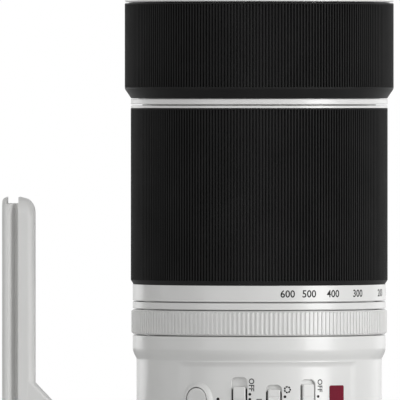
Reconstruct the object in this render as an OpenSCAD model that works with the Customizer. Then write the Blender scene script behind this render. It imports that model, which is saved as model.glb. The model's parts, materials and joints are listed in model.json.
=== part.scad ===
// Telephoto zoom lens with an internal zoom, a turning tripod collar and sliding switches.
// Frame: the origin is the centre of the mount flange, +Z points to the front glass,
// the tripod foot lies towards -X and the switch panel faces -Y.
// Panel angles are counted from -Y towards +X.

/* [Overall] */
// Length from the mount flange to the front rim
lens_length = 314.5; // [285:0.5:345]
// Dark gap between neighbouring rings
ring_gap = 0.4; // [0.3:0.05:0.6]
// Clearance under a piece that turns or slides
run_clear = 0.3; // [0.2:0.05:0.4]
// Clearance between pieces that are fixed to each other
seat_clear = 0.05; // [0.02:0.01:0.1]
// Edge break on painted rings
edge_break = 0.3; // [0.1:0.05:0.4]

/* [Front barrel] */
// Outer radius of the front barrel and of the focus grip
front_r = 49.5; // [45:0.1:54]
// Length of the painted front barrel
front_len = 19; // [17:0.5:30]
// Wall of the tube that the focus ring turns on
front_tube_wall = 2.4; // [2:0.1:2.8]
// Length of the black ring that carries the hood
hood_len = 11; // [10:0.5:15]
// Step from the front barrel in to the hood ring
hood_step = 2.7; // [2:0.1:3.5]
// Length of the hood ring's spigot inside the front barrel
hood_spigot = 4; // [3:0.25:5]
// Reach of the hood lugs past the hood ring
hood_lug_h = 1.2; // [0.8:0.1:1.6]
// Length of each hood lug along the axis
hood_lug_len = 2; // [1.5:0.1:3]
// Distance of the hood lugs from the front rim
hood_lug_drop = 3.5; // [2.5:0.1:5]
// Arc of each hood lug
hood_lug_arc = 42; // [30:1:60]
// Width of the front rim, from the filter thread out to the hood ring
front_rim = 5.8; // [5.5:0.1:6.3]
// Depth of the filter thread
filter_depth = 5; // [4:0.25:6]
// Step from the filter thread in to the front glass
glass_step = 2; // [1.6:0.1:4]
// Radius of a focus button
focus_button_r = 4.2; // [3.5:0.1:5]
// Height of a focus button
focus_button_h = 3; // [2.5:0.1:3.2]
// Free stroke of a focus button and of the set button
button_stroke = 0.8; // [0.5:0.1:1]

/* [Grip rings] */
// Length of the focus ring
focus_len = 35.1; // [30:0.1:40]
// Thickness of the focus rubber
focus_grip_t = 1.45; // [1.2:0.05:1.7]
// Wall of the focus sleeve
focus_wall = 1.7; // [1.4:0.05:2]
// Length of the smooth chamfer behind the focus rubber
focus_skirt = 3.3; // [2.5:0.1:4]
// Depth of that chamfer
focus_skirt_drop = 1.9; // [1.5:0.1:2.2]
// Ribs round the focus rubber
focus_ribs = 266; // [240:1:280]
// Step from the focus grip in to the zoom grip
zoom_step = 2.2; // [1.5:0.1:2.5]
// Length of the zoom rubber
zoom_grip_len = 65; // [60:0.5:68]
// Thickness of the zoom rubber
zoom_grip_t = 1.65; // [1.4:0.05:1.9]
// Length of the chamfer at the rear of the zoom rubber
zoom_grip_chamfer = 1.8; // [1.2:0.1:2.4]
// Ribs round the zoom rubber
zoom_ribs = 254; // [230:1:270]
// Depth of the ribs in both rubbers
rib_depth = 0.5; // [0.3:0.05:0.7]
// White lip in front of the zoom rubber
zoom_lip = 1; // [0.7:0.1:1.5]
// Length of the focal length scale
scale_len = 5.9; // [5:0.1:7]
// Step from the zoom grip in to the focal length scale
scale_step = 0.7; // [0.3:0.1:1.1]
// Wall of the zoom ring at the scale
ring_wall = 3.3; // [3:0.1:3.6]
// Length of the ring between the two grips
mid_len = 2; // [1.6:0.1:3]
// Length of the index ring
index_len = 2.5; // [2:0.1:4]
// Length of the aperture ring
aperture_len = 9; // [8:0.1:11]
// Rise of the aperture ring above the scale
aperture_rise = 0.5; // [0.2:0.1:1]
// Ribs round the aperture ring
aperture_ribs = 176; // [150:1:190]
// Depth of the aperture ring's ribs
aperture_rib_depth = 0.35; // [0.2:0.05:0.5]
// Wall of the spigots that the zoom ring and the aperture ring turn on
spigot_wall = 1.6; // [1.4:0.05:1.8]
// Length of the front spigot under the zoom ring
spigot_len = 8; // [6:0.5:10]
// Length of the rear spigot under the zoom ring
scale_spigot = 5; // [3:0.5:8]

/* [Control barrel] */
// Length of the control barrel
control_len = 51.2; // [46:0.1:57]
// Length of the shoulder
shoulder_len = 4.6; // [3.5:0.1:6]
// Length of the soft taper behind the shoulder
taper_len = 4; // [3:0.1:4.5]
// Step from the shoulder in to the control barrel
control_step = 1.4; // [0.8:0.1:1.6]
// Wall of the control barrel
control_wall = 2.6; // [2.4:0.05:2.8]
// Depth of the switch panel
panel_depth = 0.5; // [0.3:0.05:0.6]
// Distance of the panel from the shoulder's front
panel_drop = 9.3; // [9:0.1:10]
// Height of the panel along the axis
panel_h = 26.7; // [25:0.1:28]
// Slope of the panel's edges along the axis
panel_slope = 2; // [1:0.1:2.2]
// Angle at which the panel starts
panel_from = -42.5; // [-46:0.5:-40]
// Angle at which the panel ends
panel_to = 52; // [48:0.5:56]
// Distance of the row of switches from the shoulder's front
row_drop = 22.8; // [22:0.1:23.6]

/* [Switches] */
// Width of a switch slot
slot_w = 5.8; // [5.4:0.1:6.2]
// Depth of a switch slot
slot_depth = 1.2; // [1:0.05:1.3]
// Corner radius of a switch slot
slot_corner = 1.6; // [1:0.1:2]
// Room past a switch knob at its last stop
slot_end = 1.6; // [1:0.1:2]
// Width of a switch knob
switch_w = 4.5; // [4:0.1:4.8]
// Length of a switch stem along its slot
stem_len = 1; // [0.8:0.05:1.1]
// Corner radius of a switch knob
switch_corner = 0.7; // [0.4:0.1:1]
// Height of a switch knob above the panel
switch_rise = 0.7; // [0.4:0.1:1.2]
// Step between two stops of a switch
switch_step = 1.85; // [1.5:0.05:2]
// Length of the preset and limiter knobs
long_knob = 9.1; // [8:0.1:10]
// Length of the aperture mode knob
short_knob = 5.3; // [5:0.1:6]
// Angle of the preset selector
selector_angle = -9.4; // [-11:0.1:-8.5]
// Angle of the aperture mode switch
mode_angle = 7; // [6:0.1:8]
// Angle of the focus limiter
limiter_angle = 23.7; // [22:0.1:25]
// Angle of the set button
set_angle = -30.4; // [-32:0.1:-29]
// Radius of the set button
set_r = 4.1; // [3.6:0.1:4.4]
// Radius of the dish round the set button
dish_r = 6.2; // [5.8:0.1:6.6]
// Depth of the dish round a button
dish_depth = 0.6; // [0.4:0.05:0.8]

/* [Collar and foot] */
// Width of the collar
collar_w = 36; // [34:0.5:38]
// Wall of the collar
collar_wall = 4.7; // [4:0.1:6]
// Step from the control barrel in to the seat that the collar turns on
collar_sink = 2; // [1.8:0.05:2.2]
// Height of the pad that the foot is screwed to
pad_rise = 4.8; // [4:0.1:6.5]
// Distance of the foot's bottom from the axis
foot_reach = 94.4; // [92:0.2:100]
// Thickness of the foot
foot_t = 11.8; // [11:0.1:13]
// Half width of the foot and of its neck
foot_half_w = 19; // [17.5:0.25:20]
// Distance from the collar's rear face to the foot's rear end
foot_rear_inset = 4.3; // [2:0.1:5]
// Reach of the foot in front of the collar
foot_front_reach = 102.3; // [96:0.1:104]
// Thickness of the foot's lower lip
foot_lip = 1.8; // [1.5:0.1:2.2]
// Depth of the dovetail groove round the foot
dovetail_depth = 2.6; // [2:0.1:3]
// Radius of the foot's upper edge
foot_round = 4.8; // [3:0.1:5.4]
// Distance in front of the collar at which the neck meets the foot
neck_reach = 33.8; // [30:0.2:38]
// Chamfer on the neck's edges
neck_chamfer = 1; // [0.6:0.1:1.6]
// Radius of the tripod thread
tripod_r = 3.175; // [3:0.025:4.8]
// Depth of the tripod threads
tripod_depth = 9; // [7:0.25:9.5]
// Distance of the first tripod thread from the foot's front end
tripod_inset = 22; // [16:0.5:28]
// Distance between the two tripod threads
tripod_pitch = 40; // [30:1:50]
// Radius of the lock knob
knob_r = 9; // [8:0.1:11]
// Length of the lock knob
knob_len = 13; // [10:0.5:16]
// Radius of the lock knob's screw
knob_screw_r = 2.5; // [2:0.05:3]
// Flutes round the lock knob
knob_flutes = 10; // [6:1:14]

/* [Rear barrel] */
// Rear face of the rear barrel, which the mount flange sits on
rear_z = 3; // [2.5:0.1:4]
// Step from the mount flange out to the rear end
rear_lip = 2.5; // [2.1:0.1:4]
// Wall of the rear barrel
rear_wall = 2.4; // [2.2:0.05:2.6]
// Length of the straight rear end
rear_end = 7.1; // [6:0.1:12]
// Length of the straight part behind the collar
rear_shoulder_len = 11.5; // [8:0.5:14]
// Thickness of the rear wall
rear_floor = 5; // [4:0.25:6]
// Length of the spigot inside the control barrel
rear_spigot = 8; // [6:0.25:9]

/* [Mount] */
// Radius of the mount flange
flange_r = 31.5; // [31:0.1:32]
// Radius of the bayonet tube
bayonet_r = 20.8; // [20.4:0.1:21.2]
// Wall of the bayonet tube
bayonet_wall = 1.8; // [1.5:0.1:2.1]
// Depth of the bayonet behind the flange
bayonet_depth = 7; // [6:0.25:8]
// Reach of the bayonet claws
claw_h = 1.2; // [0.9:0.1:1.5]
// Thickness of the bayonet claws
claw_t = 2; // [1.5:0.1:2.5]
// Arc of each bayonet claw
claw_arc = 55; // [45:1:62]
// Radius of a mount screw
screw_r = 1; // [0.8:0.05:1.2]
// Contacts inside the bayonet
contact_count = 10; // [6:1:12]
// Angle between two contacts
contact_pitch = 10; // [8:0.5:11]
// Width of the ring that holds the contacts
contact_ring = 3.35; // [3:0.05:3.6]

/* [Zoom mechanism] */
// Angle through which the zoom ring turns
zoom_turn = 78; // [70:1:80]
// Travel of the variator
variator_travel = 36; // [32:0.5:37]
// Travel of the compensator
compensator_travel = 14; // [12:0.5:15]
// Wall of the cam barrel
cam_wall = 2.2; // [2:0.05:2.4]
// Wall of the guide barrel
guide_wall = 2.3; // [2:0.05:2.5]
// Radius of a cam roller
roller_r = 2.2; // [1.8:0.1:2.4]
// Distance of the variator's rollers from the middle ring at the wide end
variator_drop = 24.6; // [24:0.1:26]
// Distance of the compensator's rollers from the middle ring at the wide end
compensator_drop = 90.6; // [88:0.1:92]
// Length of the variator cell
variator_len = 15; // [12:0.5:16]
// Length of the compensator cell
compensator_len = 13; // [11:0.5:14]
// Rim round the variator's glass
variator_rim = 9; // [6:0.25:12]
// Rim round the compensator's glass
compensator_rim = 11; // [8:0.25:14]
// Width of the key between the zoom ring and the cam barrel
key_w = 5; // [4:0.1:6]
// Length of that key
key_len = 12; // [10:0.5:14]

/* [Iris] */
// Blades of the iris
blade_count = 7; // [5:1:7]
// Thickness of an iris blade
blade_t = 0.2; // [0.15:0.01:0.22]
// Height between two blades
blade_step = 0.35; // [0.32:0.01:0.4]
// Distance from the blade pivots in to the open iris
iris_reach = 9; // [8.6:0.1:10]
// Width of a blade's arm
blade_w = 6.5; // [6:0.1:7]
// Distance of the blade pivots from the housing's wall
pivot_inset = 5.25; // [4.9:0.05:5.6]
// Distance of a blade's drive pin from its pivot
blade_arm = 3; // [2.8:0.05:3.2]
// Radius of the blade pins
blade_pin_r = 0.7; // [0.6:0.02:0.8]
// Arc covered by a blade
blade_arc = 76; // [66:1:80]

/* [Stabiliser and focus] */
// Radius of the stabiliser's glass
ois_glass_r = 16; // [14:0.25:17]
// Throw of the stabiliser to each side
ois_throw = 1; // [0.6:0.1:1.2]
// Radius of the stabiliser's guide posts
ois_post_r = 1.5; // [1.2:0.05:1.8]
// Radius of the focus glass
focus_glass_r = 18; // [16:0.25:19]
// Length of the focus cell
focus_cell_len = 14; // [12:0.5:16]
// Travel of the focus cell
focus_travel = 14; // [10:0.5:15]
// Radius of a focus guide rod
rod_r = 1.5; // [1.2:0.05:1.8]
// Distance of the focus rods from the barrel's inner wall
rod_inset = 7.8; // [6.5:0.1:9]
// Length of the rear cell
rear_cell_len = 22; // [18:0.5:22.5]

/* [Hidden] */
$fn = 96;
fine = 480;
cut = 1;

z_hood = lens_length - hood_len;
z_front_barrel = z_hood - front_len;
z_focus1 = z_front_barrel - ring_gap;
z_focus0 = z_focus1 - focus_len;
z_mid1 = z_focus0 - ring_gap;
z_mid0 = z_mid1 - mid_len;
z_zoom1 = z_mid0 - ring_gap;
z_grip1 = z_zoom1 - zoom_lip;
z_grip0 = z_grip1 - zoom_grip_len;
z_zoom0 = z_grip0 - scale_len;
z_index1 = z_zoom0 - ring_gap;
z_index0 = z_index1 - index_len;
z_aperture1 = z_index0 - ring_gap;
z_aperture0 = z_aperture1 - aperture_len;
z_control1 = z_aperture0 - ring_gap;
z_control0 = z_control1 - control_len;
collar_front = z_control0 - ring_gap;
z_collar0 = collar_front - collar_w;
z_row = z_control1 - row_drop;
z_foot1 = collar_front + foot_front_reach;
z_foot0 = z_collar0 + foot_rear_inset;
foot_len = z_foot1 - z_foot0;

hood_r = front_r - hood_step;
filter_r = hood_r - front_rim;
glass_r = filter_r - glass_step;
zoom_r = front_r - zoom_step;
scale_r = zoom_r - scale_step;
aperture_r = scale_r + aperture_rise;
zoom_ri = scale_r - ring_wall;
spigot_r = zoom_ri - run_clear;
shoulder_r = scale_r;
control_r = shoulder_r - control_step;
collar_seat_r = control_r - collar_sink;
collar_ri = collar_seat_r + run_clear;
collar_r = collar_ri + collar_wall;
neck_base = collar_r + pad_rise;
rear_r = flange_r + rear_lip;
screw_ring_r = (bayonet_r + flange_r) / 2;

focus_grip_ri = front_r - focus_grip_t;
focus_sleeve_r = focus_grip_ri - seat_clear;
focus_ri = focus_sleeve_r - focus_wall;
front_tube_r = focus_ri - run_clear;
front_bore = front_tube_r - front_tube_wall;
front_web = 4;
front_cell_r = front_bore - seat_clear;
z_web1 = z_mid0 + front_web;
mid_seat_r = spigot_r + 1.5;

zoom_grip_ri = zoom_r - zoom_grip_t;
zoom_sleeve_r = zoom_grip_ri - seat_clear;
spigot_ri = spigot_r - spigot_wall;
cam_ro = spigot_ri - run_clear;
cam_ri = cam_ro - cam_wall;
guide_ro = cam_ri - run_clear;
guide_ri = guide_ro - guide_wall;
cell_r = guide_ri - run_clear;
variator_glass_r = cell_r - variator_rim;
compensator_glass_r = cell_r - compensator_rim;

control_ri = control_r - control_wall;
panel_r = control_r - panel_depth;
slot_floor = panel_r - slot_depth;
plate_t = 1.1;
plate_r1 = control_ri - 1.5 * run_clear;
plate_w = switch_w + 2;
stem_w = 1.8;
selector_stops = 3;
two_stops = 2;

z_front_cell1 = z_hood - hood_spigot - seat_clear;
front_lens_edge = 4;
front_lens_crown = 5.5;
retainer_t = 2;
z_glass1 = z_front_cell1 - retainer_t - front_lens_crown;
z_glass0 = z_glass1 - front_lens_edge;
doublet_edge = 9;
doublet_gap = 1.5;
z_doublet1 = z_glass0 - doublet_gap;
z_doublet0 = z_doublet1 - doublet_edge;
doublet_r = glass_r - 0.8;
doublet_back = 2;
front_seat = 2.5;

z_button = z_front_barrel + front_len / 2;
button_pocket = focus_button_h + 1.5;

rear_shoulder = control_r;
rear_ri = collar_seat_r - rear_wall;
rear_bore = flange_r - 0.5;
throat_r = bayonet_r + 1.7;
z_rear_floor = rear_z + rear_floor;
z_shoulder = z_collar0 - ring_gap;
z_taper0 = rear_z + rear_end;
z_taper1 = z_shoulder - rear_shoulder_len;
rear_taper = z_taper1 - z_taper0;
rear_spigot_r = control_ri - seat_clear;
z_guide0 = z_control0 + rear_spigot;
guide_flange = 4;
guide_ledge = 1.8;
z_iris0 = z_guide0 + guide_flange + seat_clear;

collar_chamfer = 0.8;
z_knob = collar_front - collar_w / 2;
knob_boss_r = knob_r - 1;
knob_boss_rise = 4.8;
knob_boss_reach = collar_r + knob_boss_rise;
knob_gap = ring_gap;
pin_clear = 0.08;

pad_half_w = foot_half_w - 2;
pad_margin = 2.5;
pad_root = 8;
foot_screw_r = 2.5;
foot_screw_head_r = 4.2;
foot_screw_head_h = 5;
foot_screw_len = 15;
foot_screw_z = [z_collar0 + collar_w / 3, z_collar0 + collar_w * 2 / 3];
foot_screw_grip = 9;
screw_floor = neck_base + foot_screw_grip;
tripod_z = z_foot1 - tripod_inset;

variator_z = z_mid0 - variator_drop;
compensator_z = z_mid0 - compensator_drop;
roller_slot_r = roller_r + run_clear;
z_cam1 = z_mid0 - ring_gap - 1.6;
z_cam0 = compensator_z - roller_slot_r - 3.5;
cam_steps = 13;
variator_angles = [0, 120, 240];
compensator_angles = [60, 180, 300];
key_angle = 141;
key_rise = 8;
key_z = (variator_z + variator_z - variator_travel) / 2 + key_rise;
key_pin_r = 1.6;
key_ro = zoom_ri + 1.1;

iris_wall = 2;
iris_floor = 2;
iris_ro = guide_ri - seat_clear;
iris_ri = iris_ro - iris_wall;
blade_pivot_r = iris_ri - pivot_inset;
iris_open_r = blade_pivot_r - iris_reach;
blade_lead = 5;
blade_tail_w = 2.8;
blade_root = 2;
blade_clear = 0.3;
pivot_sink = 1.3;
pin_short = 0.2;
z_blades = z_iris0 + iris_floor + blade_clear;
z_drive0 = z_blades + blade_step * blade_count + blade_clear;
z_pivot0 = z_iris0 + iris_floor - pivot_sink;
drive_t = 2;
blade_ri = iris_open_r + 0.5;
blade_ro = blade_ri + blade_w;
drive_pin_r0 = blade_pivot_r + blade_arm;
drive_ro = iris_ri - run_clear;
drive_ri = blade_pivot_r + 0.6;
drive_slot = blade_pin_r + 0.25;
z_iris1 = z_drive0 + drive_t;

ois_base_t = 4;
z_ois1 = z_guide0 - seat_clear;
z_ois0 = z_ois1 - ois_base_t;
ois_base_r = rear_ri - seat_clear;
ois_slider_t = 3;
z_slider1 = z_ois0 - run_clear;
z_slider0 = z_slider1 - ois_slider_t;
ois_cell_t = 6;
z_ois_cell1 = z_slider0 - run_clear;
z_ois_cell0 = z_ois_cell1 - ois_cell_t;
ois_cell_rim = 6;
ois_slider_rim = 10;
ois_cell_r = ois_glass_r + ois_cell_rim;
ois_slider_r = ois_glass_r + ois_slider_rim;
ois_slider_ri = ois_glass_r + 1.5;
ois_post_reach = ois_cell_r;
ois_seat = 1.5;
ois_slot = ois_post_r + 0.2;

focus_base_t = 3;
z_focus_base = z_taper1 + 0.5;
focus_base_ri = focus_glass_r + 2;
z_cell0 = z_focus_base + focus_base_t + 4;
focus_cell_r = focus_glass_r + 3;
coil_reach = focus_cell_r + 4;
coil_w = 16;
yoke_r0 = coil_reach + 0.5;
yoke_t = 7;
rod_bush_r = rod_r + 2;
rod_reach = rear_ri - rod_inset;
rod_seat = 2;
focus_seat = 3;
focus_glass_inset = 4;

throat_ri = bayonet_r - bayonet_wall;
contact_ro = throat_ri - seat_clear;
contact_ri = contact_ro - contact_ring;
contact_mid = (contact_ri + contact_ro) / 2;
contact_arc = contact_count * contact_pitch + 18;
contact_r = 0.8;
rear_glass_r = contact_ri - 0.4;
rear_cell_r = rear_glass_r + 3;
rear_cell_flange = 3;
rear_seat = 2;
rear_lens_edge = 6;
z_rear_cell0 = z_rear_floor + seat_clear;
z_rear_cell1 = z_rear_cell0 + rear_cell_len;
board_t = 1.4;

// A plain tube round the axis
module tube(ri, ro, z0, z1) {
    translate([0, 0, z0])
        difference() {
            cylinder(h = z1 - z0, r = ro);
            translate([0, 0, -cut]) cylinder(h = z1 - z0 + 2 * cut, r = ri);
        }
}

// A profile of [radius, height] points turned round the axis
module revolve(points) {
    rotate_extrude() polygon(points);
}

// Part of a ring, centred on an angle counted from +X
module arc_ring(ri, ro, z0, z1, angle, arc) {
    rotate_extrude(angle = arc, start = angle - arc / 2)
        polygon([[ri, z0], [ro, z0], [ro, z1], [ri, z1]]);
}

// Children drawn along local +X are turned to a panel angle
module at_panel(angle, z) {
    translate([0, 0, z]) rotate([0, 0, angle - 90]) children();
}

// A flat outline in local Y and Z is raised from radius r0 to r1
module raise(r0, r1) {
    translate([r0, 0, 0]) rotate([90, 0, 90]) linear_extrude(height = r1 - r0) children();
}

module rounded_rect(w, l, r) {
    square([w - 2 * r, l], center = true);
    square([w, l - 2 * r], center = true);
    for (sx = [-1, 1], sy = [-1, 1])
        translate([sx * (w / 2 - r), sy * (l / 2 - r)]) circle(r = r);
}

// A rod along local +X
module rod(r0, r1, r) {
    translate([r0, 0, 0]) rotate([0, 90, 0]) cylinder(h = r1 - r0, r = r);
}

// A cone along local +X
module cone(r0, r1, ra, rb) {
    translate([r0, 0, 0]) rotate([0, 90, 0]) cylinder(h = r1 - r0, r1 = ra, r2 = rb);
}

// Outline of a ribbed ring: a flat land and a V groove for each rib
function rib_outline(r, count, depth, land) =
    [for (i = [0 : count - 1], k = [0 : 2])
        let (step = 360 / count,
            a = (i + (k == 0 ? 0 : k == 1 ? land : (1 + land) / 2)) * step,
            rr = k == 2 ? r - depth : r)
        [rr * cos(a), rr * sin(a)]];

module ribbed_tube(ri, ro, z0, z1, count, depth, land) {
    translate([0, 0, z0])
        difference() {
            linear_extrude(height = z1 - z0) polygon(rib_outline(ro, count, depth, land));
            translate([0, 0, -cut]) cylinder(h = z1 - z0 + 2 * cut, r = ri, $fn = fine);
        }
}

// Glass: an edge from z0 to z1, with both faces bulging by their crowns
function crown(r, z, c, n = 10) = [for (i = [0 : n]) [r * i / n, z + c * (1 - i * i / (n * n))]];
function backwards(list) = [for (i = [len(list) - 1 : -1 : 0]) list[i]];

// How far a face that bulges by c at its centre stands out at radius rr
function bulge(r, c, rr) = max(0, c * (1 - rr * rr / (r * r)));

module glass(r, z0, z1, back, front) {
    revolve(concat(crown(r, z1, front), backwards(crown(r, z0, -back))));
}

module hood_mount_ring() {
    color([0.08, 0.08, 0.09]) {
        revolve([
            [filter_r, lens_length], [hood_r - 0.8, lens_length], [hood_r, lens_length - 0.8],
            [hood_r, z_hood], [front_cell_r, z_hood], [front_cell_r, z_hood - hood_spigot],
            [glass_r + 1, z_hood - hood_spigot], [filter_r - 0.6, lens_length - filter_depth],
            [filter_r, lens_length - filter_depth]]);
        z_lug = lens_length - hood_lug_drop;
        for (i = [0 : 2])
            arc_ring(hood_r - 0.5, hood_r + hood_lug_h, z_lug - hood_lug_len, z_lug,
                i * 120, hood_lug_arc);
    }
}

module front_barrel() {
    color([0.9, 0.9, 0.89])
        difference() {
            revolve([
                [front_bore, z_hood - seat_clear], [front_r - 2, z_hood - seat_clear],
                [front_r, z_hood - 2], [front_r, z_front_barrel + edge_break],
                [front_r - edge_break, z_front_barrel], [front_tube_r, z_front_barrel],
                [front_tube_r, z_mid1], [mid_seat_r, z_mid1], [mid_seat_r, z_mid0],
                [spigot_r, z_mid0], [spigot_r, z_mid0 - spigot_len],
                [spigot_ri, z_mid0 - spigot_len], [spigot_ri, z_mid0],
                [guide_ro + seat_clear, z_mid0], [guide_ro + seat_clear, z_web1],
                [front_bore, z_web1]]);
            for (i = [0 : 3])
                at_panel(i * 90, z_button) {
                    rod(front_r - button_pocket, front_r + cut, focus_button_r + run_clear);
                    cone(front_r - dish_depth, front_r + dish_depth,
                        focus_button_r + run_clear, focus_button_r + run_clear + 2 * dish_depth);
                }
        }
}

module focus_ring() {
    color([0.1, 0.1, 0.11])
        revolve([
            [focus_ri, z_focus0], [front_r - focus_skirt_drop, z_focus0],
            [front_r - 0.1, z_focus0 + focus_skirt], [focus_sleeve_r, z_focus0 + focus_skirt],
            [focus_sleeve_r, z_focus1 - 0.6], [front_r - 0.3, z_focus1 - 0.6],
            [front_r - 0.6, z_focus1], [focus_ri, z_focus1]]);
}

module focus_grip() {
    color([0.06, 0.06, 0.06])
        ribbed_tube(focus_grip_ri, front_r, z_focus0 + focus_skirt + seat_clear,
            z_focus1 - 0.6 - seat_clear, focus_ribs, rib_depth, 0.5);
}

module mid_ring() {
    color([0.88, 0.88, 0.87])
        revolve([
            [mid_seat_r + seat_clear, z_mid0], [zoom_r - edge_break, z_mid0],
            [zoom_r, z_mid0 + edge_break], [zoom_r, z_mid1 - edge_break],
            [zoom_r - edge_break, z_mid1], [mid_seat_r + seat_clear, z_mid1]]);
}

module zoom_ring() {
    color([0.88, 0.88, 0.87])
        difference() {
            revolve([
                [zoom_ri, z_zoom0], [scale_r - edge_break, z_zoom0],
                [scale_r, z_zoom0 + edge_break], [scale_r, z_grip0], [zoom_sleeve_r, z_grip0],
                [zoom_sleeve_r, z_grip1], [zoom_r, z_grip1], [zoom_r, z_zoom1 - edge_break],
                [zoom_r - edge_break, z_zoom1], [zoom_ri, z_zoom1]]);
            rotate([0, 0, key_angle])
                translate([zoom_ri - cut, -key_w / 2 - seat_clear, key_z - key_len / 2 - seat_clear])
                    cube([key_ro - zoom_ri + cut + seat_clear, key_w + 2 * seat_clear,
                        key_len + 2 * seat_clear]);
        }
}

module zoom_grip() {
    z_ribs = z_grip0 + zoom_grip_chamfer;
    color([0.06, 0.06, 0.06]) {
        ribbed_tube(zoom_grip_ri, zoom_r, z_ribs, z_grip1 - seat_clear, zoom_ribs, rib_depth, 0.5);
        rotate_extrude($fn = fine)
            polygon([
                [zoom_grip_ri, z_grip0 + seat_clear], [zoom_r - 1.1, z_grip0 + seat_clear],
                [zoom_r - rib_depth - 0.1, z_ribs], [zoom_r - rib_depth - 0.1, z_ribs + 1],
                [zoom_grip_ri, z_ribs + 1]]);
    }
}

module index_ring() {
    color([0.88, 0.88, 0.87])
        revolve([
            [spigot_r + seat_clear, z_index0], [scale_r - edge_break, z_index0],
            [scale_r, z_index0 + edge_break], [scale_r, z_index1 - edge_break],
            [scale_r - edge_break, z_index1], [spigot_r + seat_clear, z_index1]]);
}

module aperture_ring() {
    rim = 0.7;
    color([0.82, 0.82, 0.81]) {
        ribbed_tube(zoom_ri, aperture_r, z_aperture0 + rim, z_aperture1 - rim, aperture_ribs,
            aperture_rib_depth, 0.35);
        for (z = [z_aperture0, z_aperture1 - rim])
            tube(zoom_ri, aperture_r - aperture_rib_depth - 0.2, z, z + rim);
    }
}

// Slot for a switch knob, with a narrower slot for its stem
module switch_slot(angle, knob, stops) {
    travel = (stops - 1) * switch_step;
    at_panel(angle, z_row) {
        raise(slot_floor, control_r + cut)
            rounded_rect(slot_w, knob + travel + 2 * slot_end, slot_corner);
        raise(control_ri - cut, slot_floor + cut)
            square([stem_w + 2 * run_clear, stem_len + travel + 2 * run_clear], center = true);
    }
}

module control_barrel() {
    z_top = z_control1 - panel_drop;
    z_bottom = z_top - panel_h;
    color([0.9, 0.9, 0.89])
        difference() {
            revolve([
                [control_ri, z_control0], [control_r - edge_break, z_control0],
                [control_r, z_control0 + edge_break],
                [control_r, z_control1 - shoulder_len - taper_len],
                [control_r + (shoulder_r - control_r) * 0.3,
                    z_control1 - shoulder_len - taper_len * 0.55],
                [control_r + (shoulder_r - control_r) * 0.85,
                    z_control1 - shoulder_len - taper_len * 0.15],
                [shoulder_r, z_control1 - shoulder_len], [shoulder_r, z_control1 - edge_break],
                [shoulder_r - edge_break, z_control1], [spigot_r, z_control1],
                [spigot_r, z_zoom0 + scale_spigot], [spigot_ri, z_zoom0 + scale_spigot],
                [spigot_ri, z_control1 - 2], [control_ri, z_control1 - 4]]);
            rotate_extrude(angle = panel_to - panel_from, start = panel_from - 90)
                polygon([[panel_r, z_bottom + panel_slope], [control_r, z_bottom],
                    [control_r + cut, z_bottom], [control_r + cut, z_top], [control_r, z_top],
                    [panel_r, z_top - panel_slope]]);
            switch_slot(selector_angle, long_knob, selector_stops);
            switch_slot(mode_angle, short_knob, two_stops);
            switch_slot(limiter_angle, long_knob, two_stops);
            at_panel(set_angle, z_row) {
                rod(control_ri - 2, control_r + cut, set_r + run_clear);
                cone(panel_r - dish_depth, panel_r + dish_depth, set_r + run_clear,
                    2 * dish_r - set_r - run_clear);
            }
        }
}

// A switch knob on a stem, with a slide plate behind the wall
module switch_knob(angle, knob, shift) {
    color([0.78, 0.78, 0.77])
        at_panel(angle, z_row + shift) {
            difference() {
                raise(slot_floor + run_clear, panel_r + switch_rise)
                    rounded_rect(switch_w, knob, switch_corner);
                translate([panel_r + switch_rise, 0, 0]) cube([0.5, switch_w + cut, 0.4], center = true);
            }
            raise(plate_r1 - plate_t / 2, slot_floor + run_clear + 0.2)
                square([stem_w, stem_len], center = true);
            raise(plate_r1 - plate_t, plate_r1) square([plate_w, knob], center = true);
        }
}

module preset_selector() {
    switch_knob(selector_angle, long_knob, 0);
}

module aperture_mode_switch() {
    switch_knob(mode_angle, short_knob, switch_step / 2);
}

module focus_limiter() {
    switch_knob(limiter_angle, long_knob, switch_step / 2);
}

module set_button() {
    color([0.8, 0.8, 0.79])
        at_panel(set_angle, z_row) {
            rod(plate_r1 - plate_t, panel_r - 0.3, set_r);
            cone(panel_r - 0.3, panel_r, set_r, set_r - 0.3);
            rod(plate_r1 - plate_t - 0.4, plate_r1 - 0.4, set_r + 1.3);
        }
}

module focus_button(i) {
    color([0.55, 0.55, 0.56])
        at_panel(i * 90, z_button) {
            rod(front_r - focus_button_h, front_r - 0.4, focus_button_r);
            cone(front_r - 0.4, front_r - 0.1, focus_button_r, focus_button_r - 0.3);
        }
}

module focus_button_1() {
    focus_button(0);
}

module focus_button_2() {
    focus_button(1);
}

module focus_button_3() {
    focus_button(2);
}

module focus_button_4() {
    focus_button(3);
}

module collar_ring() {
    color([0.88, 0.88, 0.87])
        difference() {
            union() {
                revolve([
                    [collar_ri - cut, z_collar0], [collar_r - collar_chamfer, z_collar0],
                    [collar_r, z_collar0 + collar_chamfer],
                    [collar_r, collar_front - collar_chamfer],
                    [collar_r - collar_chamfer, collar_front], [collar_ri - cut, collar_front]]);
                translate([-neck_base, -pad_half_w, z_collar0 + pad_margin])
                    cube([neck_base - collar_ri + pad_root, 2 * pad_half_w, collar_w - 2 * pad_margin]);
                translate([0, 0, z_knob]) rotate([0, 0, 90])
                    rod(collar_ri - cut, knob_boss_reach, knob_boss_r);
            }
            translate([0, 0, z_collar0 - cut]) cylinder(h = collar_w + 2 * cut, r = collar_ri);
            translate([0, 0, z_knob]) rotate([0, 0, 90])
                rod(collar_ri - 2, knob_boss_reach + cut, knob_screw_r + pin_clear);
            for (z = foot_screw_z)
                translate([0, 0, z]) rotate([0, 0, 180])
                    rod(collar_ri + 3, neck_base + cut, foot_screw_r + seat_clear);
        }
}

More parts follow.
